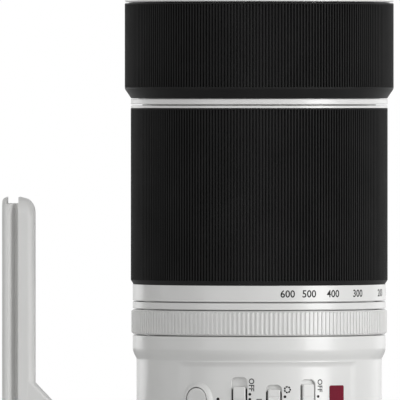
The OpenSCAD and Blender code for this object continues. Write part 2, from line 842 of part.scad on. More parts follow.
// Side outline of the foot as [distance from the axis, inset] points
foot_x0 = -foot_reach;
foot_x1 = -foot_reach + foot_t;
foot_edge = 0.6;
neck_sink = foot_round;
foot_outline = concat(
    [[foot_x0, foot_edge], [foot_x0 + foot_edge, 0], [foot_x0 + foot_lip, 0],
        [foot_x0 + foot_lip + 1.6, dovetail_depth], [foot_x0 + foot_lip + 3.2, dovetail_depth],
        [foot_x0 + foot_lip + 4, 0]],
    [for (a = [0 : 22.5 : 90])
        [foot_x1 - foot_round * (1 - sin(a)), foot_round * (1 - cos(a))]]);

function foot_section(low, high) = concat(
    [for (p = foot_outline) [p[0], high - p[1]]],
    backwards([for (p = foot_outline) [p[0], low + p[1]]]));

neck_outline = [
    [-neck_base, z_collar0 + pad_margin + 1], [-neck_base, collar_front + 2],
    [-neck_base - 5, collar_front + 7.5], [foot_x1 - neck_sink, collar_front + neck_reach + neck_sink],
    [foot_x1 - neck_sink, z_collar0 + 5]];

module tripod_foot() {
    color([0.86, 0.86, 0.85])
        difference() {
            union() {
                intersection() {
                    translate([0, 0, z_foot0])
                        linear_extrude(height = foot_len)
                            polygon(foot_section(-foot_half_w, foot_half_w));
                    rotate([90, 0, 0])
                        linear_extrude(height = 2 * foot_half_w, center = true)
                            polygon(foot_section(z_foot0, z_foot1));
                    translate([0, 0, (z_foot0 + z_foot1) / 2])
                        raise(foot_x0 - cut, foot_x1 + cut)
                            rounded_rect(2 * foot_half_w, foot_len, 4);
                }
                hull() {
                    rotate([90, 0, 0])
                        linear_extrude(height = 2 * (foot_half_w - neck_chamfer), center = true)
                            polygon(neck_outline);
                    rotate([90, 0, 0])
                        linear_extrude(height = 2 * foot_half_w, center = true)
                            offset(delta = -neck_chamfer) polygon(neck_outline);
                }
            }
            for (z = foot_screw_z)
                translate([0, 0, z]) rotate([0, 0, 180]) {
                    rod(screw_floor, foot_reach + cut, foot_screw_head_r + 0.4);
                    rod(neck_base - cut, screw_floor + cut, foot_screw_r + 0.2);
                }
            for (i = [0 : 1])
                translate([0, 0, tripod_z - i * tripod_pitch]) rotate([0, 0, 180])
                    rod(foot_reach - tripod_depth, foot_reach + cut, tripod_r);
        }
}

module foot_screws() {
    color([0.3, 0.3, 0.31])
        for (z = foot_screw_z)
            translate([0, 0, z]) rotate([0, 0, 180])
                difference() {
                    union() {
                        rod(screw_floor, screw_floor + foot_screw_head_h, foot_screw_head_r);
                        rod(screw_floor - foot_screw_len, screw_floor + cut, foot_screw_r);
                    }
                    translate([screw_floor + foot_screw_head_h - 2.5, 0, 0]) rotate([0, 90, 0])
                        cylinder(h = 2.5 + cut, r = 2.3, $fn = 6);
                }
}

module lock_knob() {
    knob0 = knob_boss_reach + knob_gap;
    color([0.1, 0.1, 0.11])
        translate([0, 0, z_knob]) rotate([0, 0, 90])
            difference() {
                union() {
                    rod(collar_ri - run_clear / 2 + 0.2, knob0 + cut, knob_screw_r);
                    rod(knob0, knob0 + 2, knob_r - 1.2);
                    rod(knob0 + 2, knob0 + knob_len - 1, knob_r);
                    cone(knob0 + knob_len - 1, knob0 + knob_len, knob_r, knob_r - 1);
                }
                for (i = [0 : knob_flutes - 1])
                    rotate([i * 360 / knob_flutes, 0, 0]) translate([0, 0, knob_r + 0.7])
                        rod(knob0 + 1, knob0 + knob_len + cut, 1.8);
            }
}

module rear_barrel() {
    color([0.9, 0.9, 0.89])
        difference() {
            revolve([
                [throat_r, rear_z], [rear_r - edge_break, rear_z], [rear_r, rear_z + edge_break],
                [rear_r, z_taper0], [rear_r + (rear_shoulder - rear_r) * 0.42,
                    z_taper0 + rear_taper * 0.5],
                [rear_r + (rear_shoulder - rear_r) * 0.8, z_taper0 + rear_taper * 0.82],
                [rear_shoulder, z_taper1], [rear_shoulder, z_shoulder],
                [collar_seat_r, z_shoulder], [collar_seat_r, z_control0 - seat_clear],
                [rear_spigot_r, z_control0 - seat_clear], [rear_spigot_r, z_guide0 - seat_clear],
                [rear_ri, z_guide0 - seat_clear], [rear_ri, z_taper1],
                [rear_bore, z_taper0], [rear_bore, z_rear_floor], [throat_r, z_rear_floor]]);
            for (i = [0 : 3])
                rotate([0, 0, 45 + i * 90]) translate([screw_ring_r, 0, rear_z - cut])
                    cylinder(h = rear_floor - 0.5 + cut, r = screw_r + seat_clear);
        }
}

module mount_flange() {
    color([0.72, 0.72, 0.73])
        difference() {
            union() {
                revolve([
                    [throat_ri, -bayonet_depth], [bayonet_r - 0.3, -bayonet_depth],
                    [bayonet_r, 0.3 - bayonet_depth], [bayonet_r, 0], [flange_r - 0.3, 0],
                    [flange_r, 0.3], [flange_r, rear_z - seat_clear],
                    [throat_ri, rear_z - seat_clear]]);
                for (i = [0 : 2])
                    arc_ring(bayonet_r - 0.5, bayonet_r + claw_h, 0.6 - bayonet_depth,
                        0.6 - bayonet_depth + claw_t, 30 + i * 120, claw_arc);
            }
            for (i = [0 : 3])
                rotate([0, 0, 45 + i * 90]) translate([screw_ring_r, 0, 0]) {
                    translate([0, 0, -cut]) cylinder(h = rear_z + 2 * cut, r = screw_r + 0.1);
                    translate([0, 0, -0.1])
                        cylinder(h = screw_r + 0.2, r1 = 2 * screw_r + 0.3, r2 = screw_r + 0.1);
                }
            rotate([0, 0, 100]) translate([screw_ring_r, 0, -cut]) cylinder(h = 2 + cut, r = 1.6);
        }
}

module mount_screws() {
    color([0.6, 0.6, 0.62])
        for (i = [0 : 3])
            rotate([0, 0, 45 + i * 90]) translate([screw_ring_r, 0, 0]) {
                translate([0, 0, 0.1]) cylinder(h = screw_r, r1 = 2 * screw_r, r2 = screw_r);
                translate([0, 0, 0.5]) cylinder(h = rear_z + rear_floor - 1.5, r = screw_r);
            }
}

module mount_gasket() {
    color([0.12, 0.12, 0.12])
        tube(flange_r + 0.1, rear_r - 0.6, -0.5, rear_z - seat_clear);
}

module contact_block() {
    color([0.08, 0.08, 0.08])
        difference() {
            union() {
                tube(contact_ri, contact_ro, -2.5, rear_z);
                arc_ring(contact_ri, contact_ro, 0.4 - bayonet_depth, -2, -90, contact_arc);
            }
            for (i = [0 : contact_count - 1])
                rotate([0, 0, -90 + (i - (contact_count - 1) / 2) * contact_pitch])
                    translate([contact_mid, 0, -bayonet_depth])
                        cylinder(h = 3, r = contact_r + seat_clear);
        }
}

module contact_pins() {
    color([0.8, 0.65, 0.3])
        for (i = [0 : contact_count - 1])
            rotate([0, 0, -90 + (i - (contact_count - 1) / 2) * contact_pitch])
                translate([contact_mid, 0, 0.25 - bayonet_depth]) cylinder(h = 2.7, r = contact_r);
}

module front_cell() {
    z_seat = z_doublet0 - seat_clear - bulge(doublet_r, doublet_back, doublet_r - front_seat);
    color([0.12, 0.12, 0.13])
        revolve([
            [front_cell_r, z_web1 + seat_clear], [front_cell_r, z_front_cell1],
            [glass_r + seat_clear, z_front_cell1], [glass_r + seat_clear, z_glass0 - seat_clear],
            [doublet_r + seat_clear, z_glass0 - seat_clear],
            [doublet_r + seat_clear, z_seat], [doublet_r - front_seat, z_seat],
            [doublet_r - front_seat, z_doublet0 - 3],
            [front_cell_r - 2, z_doublet0 - 6], [front_cell_r - 2, z_web1 + seat_clear]]);
}

module front_element() {
    color([0.45, 0.55, 0.6])
        glass(glass_r, z_glass0, z_glass1, -2.5, front_lens_crown);
}

module front_doublet() {
    color([0.45, 0.55, 0.6])
        glass(doublet_r, z_doublet0, z_doublet1, doublet_back, 1.2);
}

module front_retainer() {
    color([0.07, 0.07, 0.07])
        revolve([
            [glass_r, z_glass1 + seat_clear], [glass_r, z_front_cell1 - 0.5],
            [glass_r - 1.4, z_front_cell1 - 0.5],
            [glass_r - 1.4, z_glass1 + seat_clear + 0.6]]);
}

// A straight slot for a roller, from height z0 to z1
module roller_slot(angle, z0, z1) {
    rotate([0, 0, angle])
        raise(guide_ri - cut, guide_ro + cut) {
            translate([-roller_slot_r, z0]) square([2 * roller_slot_r, z1 - z0]);
            translate([0, z0]) circle(r = roller_slot_r);
            translate([0, z1]) circle(r = roller_slot_r);
        }
}

module guide_barrel() {
    flange_ro = control_ri - seat_clear;
    color([0.62, 0.62, 0.64])
        difference() {
            revolve([
                [guide_ri - guide_ledge, z_guide0], [flange_ro, z_guide0],
                [flange_ro, z_guide0 + guide_flange], [guide_ro, z_guide0 + guide_flange],
                [guide_ro, z_web1 - seat_clear], [guide_ri, z_web1 - seat_clear],
                [guide_ri, z_guide0 + guide_flange],
                [guide_ri - guide_ledge, z_guide0 + guide_flange]]);
            for (a = variator_angles)
                roller_slot(a, variator_z - variator_travel, variator_z);
            for (a = compensator_angles)
                roller_slot(a, compensator_z, compensator_z + compensator_travel);
        }
}

// A helical cam slot that leads a roller from z by travel while the barrel turns by zoom_turn
module cam_slot(angle, z, travel) {
    arc = cam_ro * zoom_turn * PI / 180;
    lead = atan2(travel, arc);
    half = roller_slot_r / cos(lead);
    spare = half / arc;
    ends = [[cam_ri - cut, -half], [cam_ro + cut, -half], [cam_ro + cut, half], [cam_ri - cut, half]];
    points = [for (i = [0 : cam_steps], e = ends)
        let (t = -spare + (1 + 2 * spare) * i / cam_steps, a = angle - zoom_turn * t)
        [e[0] * cos(a), e[0] * sin(a), z + travel * t + e[1]]];
    sides = [for (i = [0 : cam_steps - 1], k = [0 : 3])
        let (p = 4 * i + k, q = 4 * i + (k + 1) % 4)
        each [[p, q + 4, q], [p, p + 4, q + 4]]];
    last = 4 * cam_steps;
    polyhedron(points, concat(sides, [[0, 1, 2, 3], [last + 3, last + 2, last + 1, last]]));
}

module cam_barrel() {
    color([0.55, 0.55, 0.58])
        difference() {
            tube(cam_ri, cam_ro, z_cam0, z_cam1);
            for (a = variator_angles)
                cam_slot(a, variator_z, -variator_travel);
            for (a = compensator_angles)
                cam_slot(a, compensator_z, compensator_travel);
            translate([0, 0, key_z]) rotate([0, 0, key_angle])
                rod(cam_ri - cut, cam_ro + cut, key_pin_r + seat_clear);
        }
}

module zoom_key() {
    color([0.7, 0.6, 0.35]) {
        intersection() {
            tube(cam_ro + seat_clear, key_ro, key_z - key_len / 2, key_z + key_len / 2);
            rotate([0, 0, key_angle])
                translate([cam_ri, -key_w / 2, key_z - key_len / 2])
                    cube([key_ro, key_w, key_len]);
        }
        translate([0, 0, key_z]) rotate([0, 0, key_angle])
            rod(cam_ri + 0.2, cam_ro + 1, key_pin_r);
    }
}

// A lens cell with three cam rollers, whose lip carries a glass that bulges by back
module cam_cell(z, len, glass_radius, seat, back, angles) {
    lip = 1.5;
    z_seat = z - seat / 2 - seat_clear - bulge(glass_radius, back, glass_radius - lip);
    difference() {
        union() {
            tube(cell_r - 2.5, cell_r, z - len / 2, z + len / 2);
            tube(glass_radius - lip, cell_r - 1, z_seat - 2, z_seat);
            tube(glass_radius + seat_clear, glass_radius + 2.5, z_seat - 2, z + seat / 2);
        }
        translate([0, 0, z_seat]) cylinder(h = seat + cut, r = glass_radius + seat_clear);
    }
    for (a = angles)
        translate([0, 0, z]) rotate([0, 0, a]) rod(cell_r - 1.5, cam_ro - run_clear, roller_r);
}

variator_edge = 7;
variator_back = -2.2;
compensator_edge = 5;
compensator_back = 1.6;

module variator_cell() {
    color([0.15, 0.15, 0.16])
        cam_cell(variator_z, variator_len, variator_glass_r, variator_edge, variator_back,
            variator_angles);
}

module variator_lens() {
    color([0.45, 0.55, 0.6])
        glass(variator_glass_r, variator_z - variator_edge / 2, variator_z + variator_edge / 2,
            variator_back, -1.8);
}

module compensator_cell() {
    color([0.15, 0.15, 0.16])
        cam_cell(compensator_z, compensator_len, compensator_glass_r, compensator_edge,
            compensator_back, compensator_angles);
}

module compensator_lens() {
    color([0.45, 0.55, 0.6])
        glass(compensator_glass_r, compensator_z - compensator_edge / 2,
            compensator_z + compensator_edge / 2, compensator_back, 2.4);
}

module iris_housing() {
    color([0.14, 0.14, 0.15])
        difference() {
            revolve([
                [iris_open_r + 0.2, z_iris0], [iris_ro, z_iris0], [iris_ro, z_iris1],
                [iris_ri, z_iris1], [iris_ri, z_iris0 + iris_floor],
                [iris_open_r + 0.2, z_iris0 + iris_floor]]);
            for (i = [0 : blade_count - 1])
                rotate([0, 0, i * 360 / blade_count]) translate([blade_pivot_r, 0, z_iris0 + 0.4])
                    cylinder(h = iris_floor + cut, r = blade_pin_r + pin_clear);
        }
}

module iris_drive_ring() {
    color([0.35, 0.35, 0.37])
        difference() {
            tube(drive_ri, drive_ro, z_drive0, z_drive0 + drive_t);
            for (i = [0 : blade_count - 1])
                rotate([0, 0, i * 360 / blade_count])
                    translate([drive_pin_r0, 0, z_drive0 - cut])
                        linear_extrude(height = drive_t + 2 * cut)
                            square([2 * drive_slot + 0.8, 2 * drive_slot], center = true);
        }
}

module iris_blade(i) {
    z = z_blades + i * blade_step;
    color([0.2, 0.2, 0.21])
        rotate([0, 0, i * 360 / blade_count]) {
            arc_ring(blade_ri, blade_ro, z, z + blade_t, blade_arc / 2 - blade_lead, blade_arc);
            translate([blade_ro - blade_root, -blade_tail_w / 2, z])
                cube([drive_pin_r0 + blade_pin_r - blade_ro + blade_root + pin_short, blade_tail_w, blade_t]);
            translate([blade_pivot_r, 0, z_pivot0])
                cylinder(h = z - z_pivot0 + blade_t / 2, r = blade_pin_r);
            translate([drive_pin_r0, 0, z + blade_t / 2])
                cylinder(h = z_drive0 + drive_t - z - blade_t / 2 - pin_short, r = blade_pin_r);
        }
}

module iris_blade_1() {
    iris_blade(0);
}

module iris_blade_2() {
    iris_blade(1);
}

module iris_blade_3() {
    iris_blade(2);
}

module iris_blade_4() {
    iris_blade(3);
}

module iris_blade_5() {
    iris_blade(4);
}

module iris_blade_6() {
    iris_blade(5);
}

module iris_blade_7() {
    iris_blade(6);
}

module ois_base() {
    color([0.16, 0.16, 0.17])
        difference() {
            union() {
                tube(ois_slider_ri, ois_base_r, z_ois0, z_ois1);
                for (s = [-1, 1])
                    translate([s * ois_post_reach, 0, z_slider0 + 0.2])
                        cylinder(h = z_ois0 - z_slider0 + cut, r = ois_post_r);
            }
            for (s = [-1, 1])
                translate([0, s * rod_reach, z_ois0 - cut])
                    cylinder(h = rod_seat + cut, r = rod_r + seat_clear);
        }
}

// Slides along X on the base's posts and carries the cell's posts along Y
module ois_slider() {
    slot_l = 2 * (ois_slot + ois_throw);
    color([0.3, 0.3, 0.32])
        difference() {
            tube(ois_slider_ri + 0.5, ois_slider_r, z_slider0, z_slider1);
            for (s = [-1, 1]) {
                translate([s * ois_post_reach, 0, z_slider0 - cut])
                    linear_extrude(height = ois_slider_t + 2 * cut)
                        square([slot_l, 2 * ois_slot], center = true);
                translate([0, s * ois_post_reach, z_slider0 - cut])
                    linear_extrude(height = ois_slider_t + 2 * cut)
                        square([2 * ois_slot, slot_l], center = true);
            }
        }
}

module ois_cell() {
    color([0.16, 0.16, 0.17])
        difference() {
            union() {
                tube(ois_glass_r - 1.2, ois_cell_r + 2, z_ois_cell0, z_ois_cell1);
                for (s = [-1, 1])
                    translate([0, s * ois_post_reach, z_ois_cell1 - cut])
                        cylinder(h = ois_slider_t + run_clear - 0.2 + cut, r = ois_post_r);
            }
            translate([0, 0, z_ois_cell0 + ois_seat - seat_clear])
                cylinder(h = ois_cell_t, r = ois_glass_r + seat_clear);
        }
}

module ois_lens() {
    color([0.45, 0.55, 0.6])
        glass(ois_glass_r, z_ois_cell0 + ois_seat, z_ois_cell1 - 1, -0.8, 1.4);
}

module focus_base() {
    color([0.16, 0.16, 0.17])
        difference() {
            tube(focus_base_ri, rear_ri - seat_clear, z_focus_base, z_focus_base + focus_base_t);
            for (s = [-1, 1])
                translate([0, s * rod_reach, z_focus_base + focus_base_t - rod_seat])
                    cylinder(h = rod_seat + cut, r = rod_r + seat_clear);
        }
}

module focus_rods() {
    z0 = z_focus_base + focus_base_t - rod_seat + seat_clear;
    color([0.75, 0.75, 0.77])
        for (s = [-1, 1])
            translate([0, s * rod_reach, z0])
                cylinder(h = z_ois0 + rod_seat - seat_clear - z0, r = rod_r);
}

module focus_motor() {
    z0 = z_focus_base + focus_base_t + seat_clear;
    color([0.45, 0.45, 0.48])
        for (s = [0, 180])
            rotate([0, 0, s])
                translate([yoke_r0, -coil_w / 2 - 2, z0])
                    cube([yoke_t, coil_w + 4, focus_cell_len + focus_travel + 6]);
}

// The focus cell runs on two rods and carries a coil beside each magnet
module focus_cell() {
    z1 = z_cell0 + focus_cell_len;
    color([0.14, 0.14, 0.15])
        difference() {
            union() {
                tube(focus_glass_r - 1.5, focus_cell_r, z_cell0, z1);
                for (s = [-1, 1]) {
                    translate([0, s * rod_reach, z_cell0])
                        cylinder(h = focus_cell_len, r = rod_bush_r);
                    translate([-2, s > 0 ? focus_cell_r - 1 : -rod_reach + rod_r + 1, z_cell0])
                        cube([4, rod_reach - rod_r - focus_cell_r, focus_cell_len]);
                    translate([s > 0 ? focus_cell_r - 1.5 : -coil_reach, -coil_w / 2, z_cell0 + 1])
                        cube([coil_reach - focus_cell_r + 1.5, coil_w, focus_cell_len - 2]);
                }
            }
            translate([0, 0, z_cell0 + focus_seat - seat_clear])
                cylinder(h = focus_cell_len, r = focus_glass_r + seat_clear);
            for (s = [-1, 1])
                translate([0, s * rod_reach, z_cell0 - cut])
                    cylinder(h = focus_cell_len + 2 * cut, r = rod_r + pin_clear);
        }
}

module focus_lens() {
    color([0.45, 0.55, 0.6])
        glass(focus_glass_r, z_cell0 + focus_seat, z_cell0 + focus_cell_len - focus_glass_inset, -1.5, 1);
}

module rear_cell() {
    color([0.12, 0.12, 0.13])
        revolve([
            [rear_glass_r - 1.2, z_rear_cell0], [rear_bore - seat_clear, z_rear_cell0],
            [rear_bore - seat_clear, z_rear_cell0 + rear_cell_flange],
            [rear_cell_r, z_rear_cell0 + rear_cell_flange], [rear_cell_r, z_rear_cell1],
            [rear_glass_r + seat_clear, z_rear_cell1],
            [rear_glass_r + seat_clear, z_rear_cell0 + rear_seat],
            [rear_glass_r - 1.2, z_rear_cell0 + rear_seat]]);
}

module rear_lens() {
    z0 = z_rear_cell0 + rear_seat + seat_clear;
    color([0.45, 0.55, 0.6])
        glass(rear_glass_r, z0, z0 + rear_lens_edge, -1, 1.5);
}

module main_board() {
    z0 = z_rear_cell0 + rear_cell_flange + seat_clear;
    color([0.1, 0.3, 0.18])
        tube(rear_cell_r + 0.5, rear_bore - 1.5, z0, z0 + board_t);
}

hood_mount_ring();
front_barrel();
focus_ring();
focus_grip();
mid_ring();
zoom_ring();
zoom_grip();
index_ring();
aperture_ring();
control_barrel();
preset_selector();
aperture_mode_switch();
focus_limiter();
set_button();
focus_button_1();
focus_button_2();
focus_button_3();
focus_button_4();
collar_ring();
tripod_foot();
foot_screws();
lock_knob();
rear_barrel();
mount_flange();
mount_screws();
mount_gasket();
contact_block();
contact_pins();
front_cell();
front_element();
front_doublet();
front_retainer();
guide_barrel();
cam_barrel();
zoom_key();
variator_cell();
variator_lens();
compensator_cell();
compensator_lens();
iris_housing();
iris_drive_ring();
iris_blade_1();
iris_blade_2();
iris_blade_3();
iris_blade_4();
iris_blade_5();
iris_blade_6();
iris_blade_7();
ois_base();
ois_slider();
ois_cell();
ois_lens();
focus_base();
focus_rods();
focus_motor();
focus_cell();
focus_lens();
rear_cell();
rear_lens();
main_board();
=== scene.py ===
"""Looks of a white telephoto zoom lens with a tripod foot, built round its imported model.

Lengths are metres in the model's own frame: +Z runs along the optical axis to the front glass,
the tripod foot lies towards -X and the switch panel faces -Y. Panel angles are degrees, counted
from -Y towards +X.
"""

import json
import math

import bmesh
import bpy
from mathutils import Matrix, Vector


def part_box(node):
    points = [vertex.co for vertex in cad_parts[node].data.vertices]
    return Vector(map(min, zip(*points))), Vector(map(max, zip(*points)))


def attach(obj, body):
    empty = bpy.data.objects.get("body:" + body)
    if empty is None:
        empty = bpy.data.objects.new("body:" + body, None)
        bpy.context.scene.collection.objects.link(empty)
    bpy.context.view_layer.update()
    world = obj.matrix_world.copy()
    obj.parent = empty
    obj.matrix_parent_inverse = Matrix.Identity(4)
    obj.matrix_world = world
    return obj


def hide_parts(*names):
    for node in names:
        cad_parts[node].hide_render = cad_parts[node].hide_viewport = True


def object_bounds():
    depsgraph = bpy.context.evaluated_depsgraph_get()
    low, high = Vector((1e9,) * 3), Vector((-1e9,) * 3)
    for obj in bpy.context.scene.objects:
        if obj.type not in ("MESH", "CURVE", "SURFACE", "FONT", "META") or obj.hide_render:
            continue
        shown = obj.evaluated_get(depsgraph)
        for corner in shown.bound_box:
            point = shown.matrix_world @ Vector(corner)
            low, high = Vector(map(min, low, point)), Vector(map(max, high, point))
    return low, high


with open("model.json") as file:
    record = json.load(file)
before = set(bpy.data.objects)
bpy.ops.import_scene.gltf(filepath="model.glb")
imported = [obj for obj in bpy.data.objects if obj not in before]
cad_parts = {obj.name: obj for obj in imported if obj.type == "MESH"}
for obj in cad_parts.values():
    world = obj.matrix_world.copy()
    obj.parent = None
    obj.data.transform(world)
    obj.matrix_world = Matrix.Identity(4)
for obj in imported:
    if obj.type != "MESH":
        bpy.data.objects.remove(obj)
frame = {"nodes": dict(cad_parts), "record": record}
cad_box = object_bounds()
scene = bpy.context.scene
MM = 0.001
SEGMENTS = 256
ROUND = [360 * k / SEGMENTS for k in range(SEGMENTS)]
SHARP = math.radians(32)
WELD = 0.0005 * MM


class Wire:
    """A value on its way through a finish; arithmetic on it adds Math nodes."""

    def __init__(self, finish, socket):
        self.finish = finish
        self.socket = socket

    def math(self, operation, *values):
        return self.finish.node("ShaderNodeMath", {"operation": operation}, dict(enumerate(values)))

    def __add__(self, other):
        return self.math("ADD", self, other)

    def __radd__(self, other):
        return self.math("ADD", other, self)

    def __sub__(self, other):
        return self.math("SUBTRACT", self, other)

    def __rsub__(self, other):
        return self.math("SUBTRACT", other, self)

    def __mul__(self, other):
        return self.math("MULTIPLY", self, other)

    def __rmul__(self, other):
        return self.math("MULTIPLY", other, self)


class Finish:
    """The node tree of one material, or of the surroundings."""

    def __init__(self, owner, place="Object"):
        self.owner = owner
        owner.use_nodes = True
        self.tree = owner.node_tree
        self.tree.nodes.clear()
        self.place = self.node("ShaderNodeTexCoord", out=place)

    def node(self, kind, settings=None, sockets=None, out=0):
        """Adds a node: its settings come first, then the values or links of its sockets."""
        made = self.tree.nodes.new(kind)
        for key, value in (settings or {}).items():
            setattr(made, key, value)
        for key, value in (sockets or {}).items():
            target = made.inputs[key]
            if isinstance(value, Wire):
                self.tree.links.new(value.socket, target)
            elif target.type == "RGBA":
                target.default_value = (*value, 1.0)
            else:
                target.default_value = value
        return Wire(self, made.outputs[out])

    def noise(self, size, detail=2.0):
        """Cloudy grain whose patches are about size across, from 0 to 1."""
        sockets = {"Vector": self.place, "Scale": 1.0 / size, "Detail": detail}
        return self.node("ShaderNodeTexNoise", None, sockets)

    def turned(self, pitch):
        """Fine concentric lines, as a lathe leaves them."""
        flat = self.node("ShaderNodeVectorMath", {"operation": "MULTIPLY"}, {0: self.place, 1: (1, 1, 0)})
        radius = self.node("ShaderNodeVectorMath", {"operation": "LENGTH"}, {0: flat}, out="Value")
        settings = {"noise_dimensions": "1D"}
        return self.node("ShaderNodeTexNoise", settings, {"W": radius, "Scale": 1.0 / pitch, "Detail": 3.0})

    def mix(self, low, high, factor):
        """A colour between two colours."""
        settings = {"data_type": "RGBA"}
        return self.node("ShaderNodeMix", settings, {0: factor, 6: low, 7: high}, out=2)

    def bump(self, height, depth):
        """Surface relief whose full height is depth."""
        return self.node("ShaderNodeBump", None, {"Strength": 1.0, "Distance": depth, "Height": height})

    def shader(self, **sockets):
        """A Principled shader; words in a socket's name are joined by _."""
        named = {key.replace("_", " "): value for key, value in sockets.items()}
        return self.node("ShaderNodeBsdfPrincipled", None, named)

    def surface(self, **sockets):
        """Closes the tree with a Principled shader."""
        return self.close(self.shader(**sockets))

    def close(self, shader, output="ShaderNodeOutputMaterial"):
        """Links a shader to the tree's output and hands back what the tree belongs to."""
        self.tree.links.new(shader.socket, self.tree.nodes.new(output).inputs["Surface"])
        return self.owner


def new_finish(name):
    return Finish(bpy.data.materials.new(name))


def shade(colour, factor):
    """A colour made darker or lighter by a factor."""
    return tuple(factor * part for part in colour)


def grey(level):
    return (level, level, level)


def off_white(level):
    return shade((1.0, 1.0, 0.985), level)


def enamel(name, colour, rough, gloss, coat=0.0):
    """Sprayed paint: a fine grain over slow changes of tone and gloss."""
    f = new_finish(name)
    grain = f.noise(0.25 * MM, 3.0)
    cloud = f.noise(30 * MM, 2.0)
    tone = cloud * 0.7 + grain * 0.3
    return f.surface(
        Base_Color=f.mix(shade(colour, 0.96), shade(colour, 1.03), tone),
        Roughness=rough - 0.04 + cloud * 0.05 + grain * 0.04,
        Specular_IOR_Level=gloss,
        Coat_Weight=coat,
        Coat_Roughness=0.15,
        Normal=f.bump(grain, 0.003 * MM),
    )


def moulded(name, colour, rough, gloss, grain, sheen=0.0):
    """Moulded plastic or rubber with a spark-eroded grain, which looks paler where it turns away."""
    f = new_finish(name)
    pits = f.noise(grain, 4.0)
    cloud = f.noise(14 * MM, 2.0)
    return f.surface(
        Base_Color=f.mix(shade(colour, 0.75), shade(colour, 1.25), cloud),
        Roughness=rough - 0.06 + pits * 0.12,
        Specular_IOR_Level=gloss,
        Sheen_Weight=sheen,
        Sheen_Roughness=0.3,
        Normal=f.bump(pits, 0.015 * MM),
    )


def machined(name, colour, rough, pitch):
    """Metal with the fine rings of a lathe tool."""
    f = new_finish(name)
    rings = f.turned(pitch)
    cloud = f.noise(12 * MM, 3.0)
    return f.surface(
        Base_Color=f.mix(shade(colour, 0.86), colour, rings * 0.6 + cloud * 0.4),
        Roughness=rough - 0.05 + rings * 0.08 + cloud * 0.06,
        Metallic=1.0,
        Normal=f.bump(rings, 0.002 * MM),
    )


def coated_glass():
    """Clear glass whose coating throws back a violet tint."""
    f = new_finish("glass")
    dust = f.noise(1.5 * MM, 4.0)
    return f.surface(
        Base_Color=(0.97, 1.0, 0.98),
        Roughness=0.002 + dust * 0.006,
        Transmission_Weight=1.0,
        IOR=1.5,
        Specular_Tint=(0.13, 0.10, 0.28),
    )


def circuit_board():
    """Green board with paler copper under the mask."""
    f = new_finish("board")
    settings = {"feature": "DISTANCE_TO_EDGE"}
    tracks = f.node("ShaderNodeTexVoronoi", settings, {"Vector": f.place, "Scale": 1 / (4 * MM)})
    return f.surface(
        Base_Color=f.mix((0.02, 0.10, 0.04), (0.01, 0.05, 0.025), tracks * 4.0),
        Roughness=0.35 + tracks * 0.2,
    )


FINISHES = {
    "white_paint": enamel("white_paint", off_white(0.72), rough=0.34, gloss=0.9, coat=0.5),
    "silver_paint": enamel("silver_paint", off_white(0.70), rough=0.32, gloss=0.9, coat=0.5),
    "foot_paint": enamel("foot_paint", off_white(0.72), rough=0.5, gloss=0.5),
    "white_plastic": enamel("white_plastic", off_white(0.74), rough=0.34, gloss=0.7),
    "black_plastic": moulded(
        "black_plastic", grey(0.014), rough=0.45, gloss=0.08, grain=0.35 * MM, sheen=0.16,
    ),
    "black_metal": moulded("black_metal", grey(0.012), rough=0.40, gloss=0.4, grain=0.2 * MM),
    "rubber_grip": moulded("rubber_grip", grey(0.020), rough=0.5, gloss=0.06, grain=0.15 * MM, sheen=0.12),
    "button_rubber": moulded("button_rubber", grey(0.30), rough=0.5, gloss=0.3, grain=0.2 * MM),
    "mount_metal": machined("mount_metal", grey(0.72), rough=0.22, pitch=0.12 * MM),
    "steel": machined("steel", grey(0.6), rough=0.28, pitch=0.2 * MM),
    "brass": machined("brass", (0.83, 0.62, 0.28), rough=0.22, pitch=0.2 * MM),
    "inner_metal": machined("inner_metal", grey(0.55), rough=0.35, pitch=0.3 * MM),
    "inner_black": moulded("inner_black", grey(0.008), rough=0.6, gloss=0.25, grain=0.3 * MM),
    "board": circuit_board(),
    "glass": coated_glass(),
    "print_ink": moulded("print_ink", grey(0.015), rough=0.5, gloss=0.2, grain=0.2 * MM),
    "red_plate": moulded("red_plate", (0.17, 0.003, 0.02), rough=0.4, gloss=0.15, grain=0.3 * MM),
}

for part in frame["record"]["subparts"]:
    mesh = frame["nodes"][part["node"]].data
    mesh.materials.clear()
    mesh.materials.append(FINISHES[part["material_slot"]])


def polar(radius, angle, z):
    """A point at a panel angle and a distance from the optical axis."""
    a = math.radians(angle)
    return Vector((radius * math.sin(a), -radius * math.cos(a), z))


def seat(angle, z=0.0):
    """Turns (across, up, out) at a panel angle into a point; out counts from the optical axis."""
    a = math.radians(angle)
    sideways = Vector((math.cos(a), math.sin(a), 0.0))
    outward = Vector((math.sin(a), -math.cos(a), 0.0))

    def place(across, up, out):
        return sideways * across + outward * out + Vector((0.0, 0.0, z + up))

    return place


def wrap(angle, z=0.0):
    """Like seat, but across bends round the barrel."""

    def place(across, up, out):
        return polar(out, angle + math.degrees(across / out), z + up)

    return place


def span(node):
    """Rear end, front end and outer radius of a node that is turned round the optical axis."""
    low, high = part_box(node)
    return low.z, high.z, high.y


def rounded(corners, steps=4):
    """The closed outline through corners (x, y, radius), each rounded by an arc of its radius."""
    outline = []
    for i, (x, y, radius) in enumerate(corners):
        corner = Vector((x, y))
        back = (Vector(corners[i - 1][:2]) - corner).normalized()
        ahead = (Vector(corners[(i + 1) % len(corners)][:2]) - corner).normalized()
        if not radius:
            outline.append(corner)
            continue
        half = back.angle(ahead) / 2
        centre = corner + (back + ahead).normalized() * (radius / math.sin(half))
        first = corner + back * (radius / math.tan(half)) - centre
        last = corner + ahead * (radius / math.tan(half)) - centre
        for k in range(steps + 1):
            outline.append(centre + first.lerp(last, k / steps).normalized() * radius)
    return outline


def rounded_rect(width, length, corner, steps=6):
    x, y = width / 2, length / 2
    return rounded([(x, -y, corner), (x, y, corner), (-x, y, corner), (-x, -y, corner)], steps)


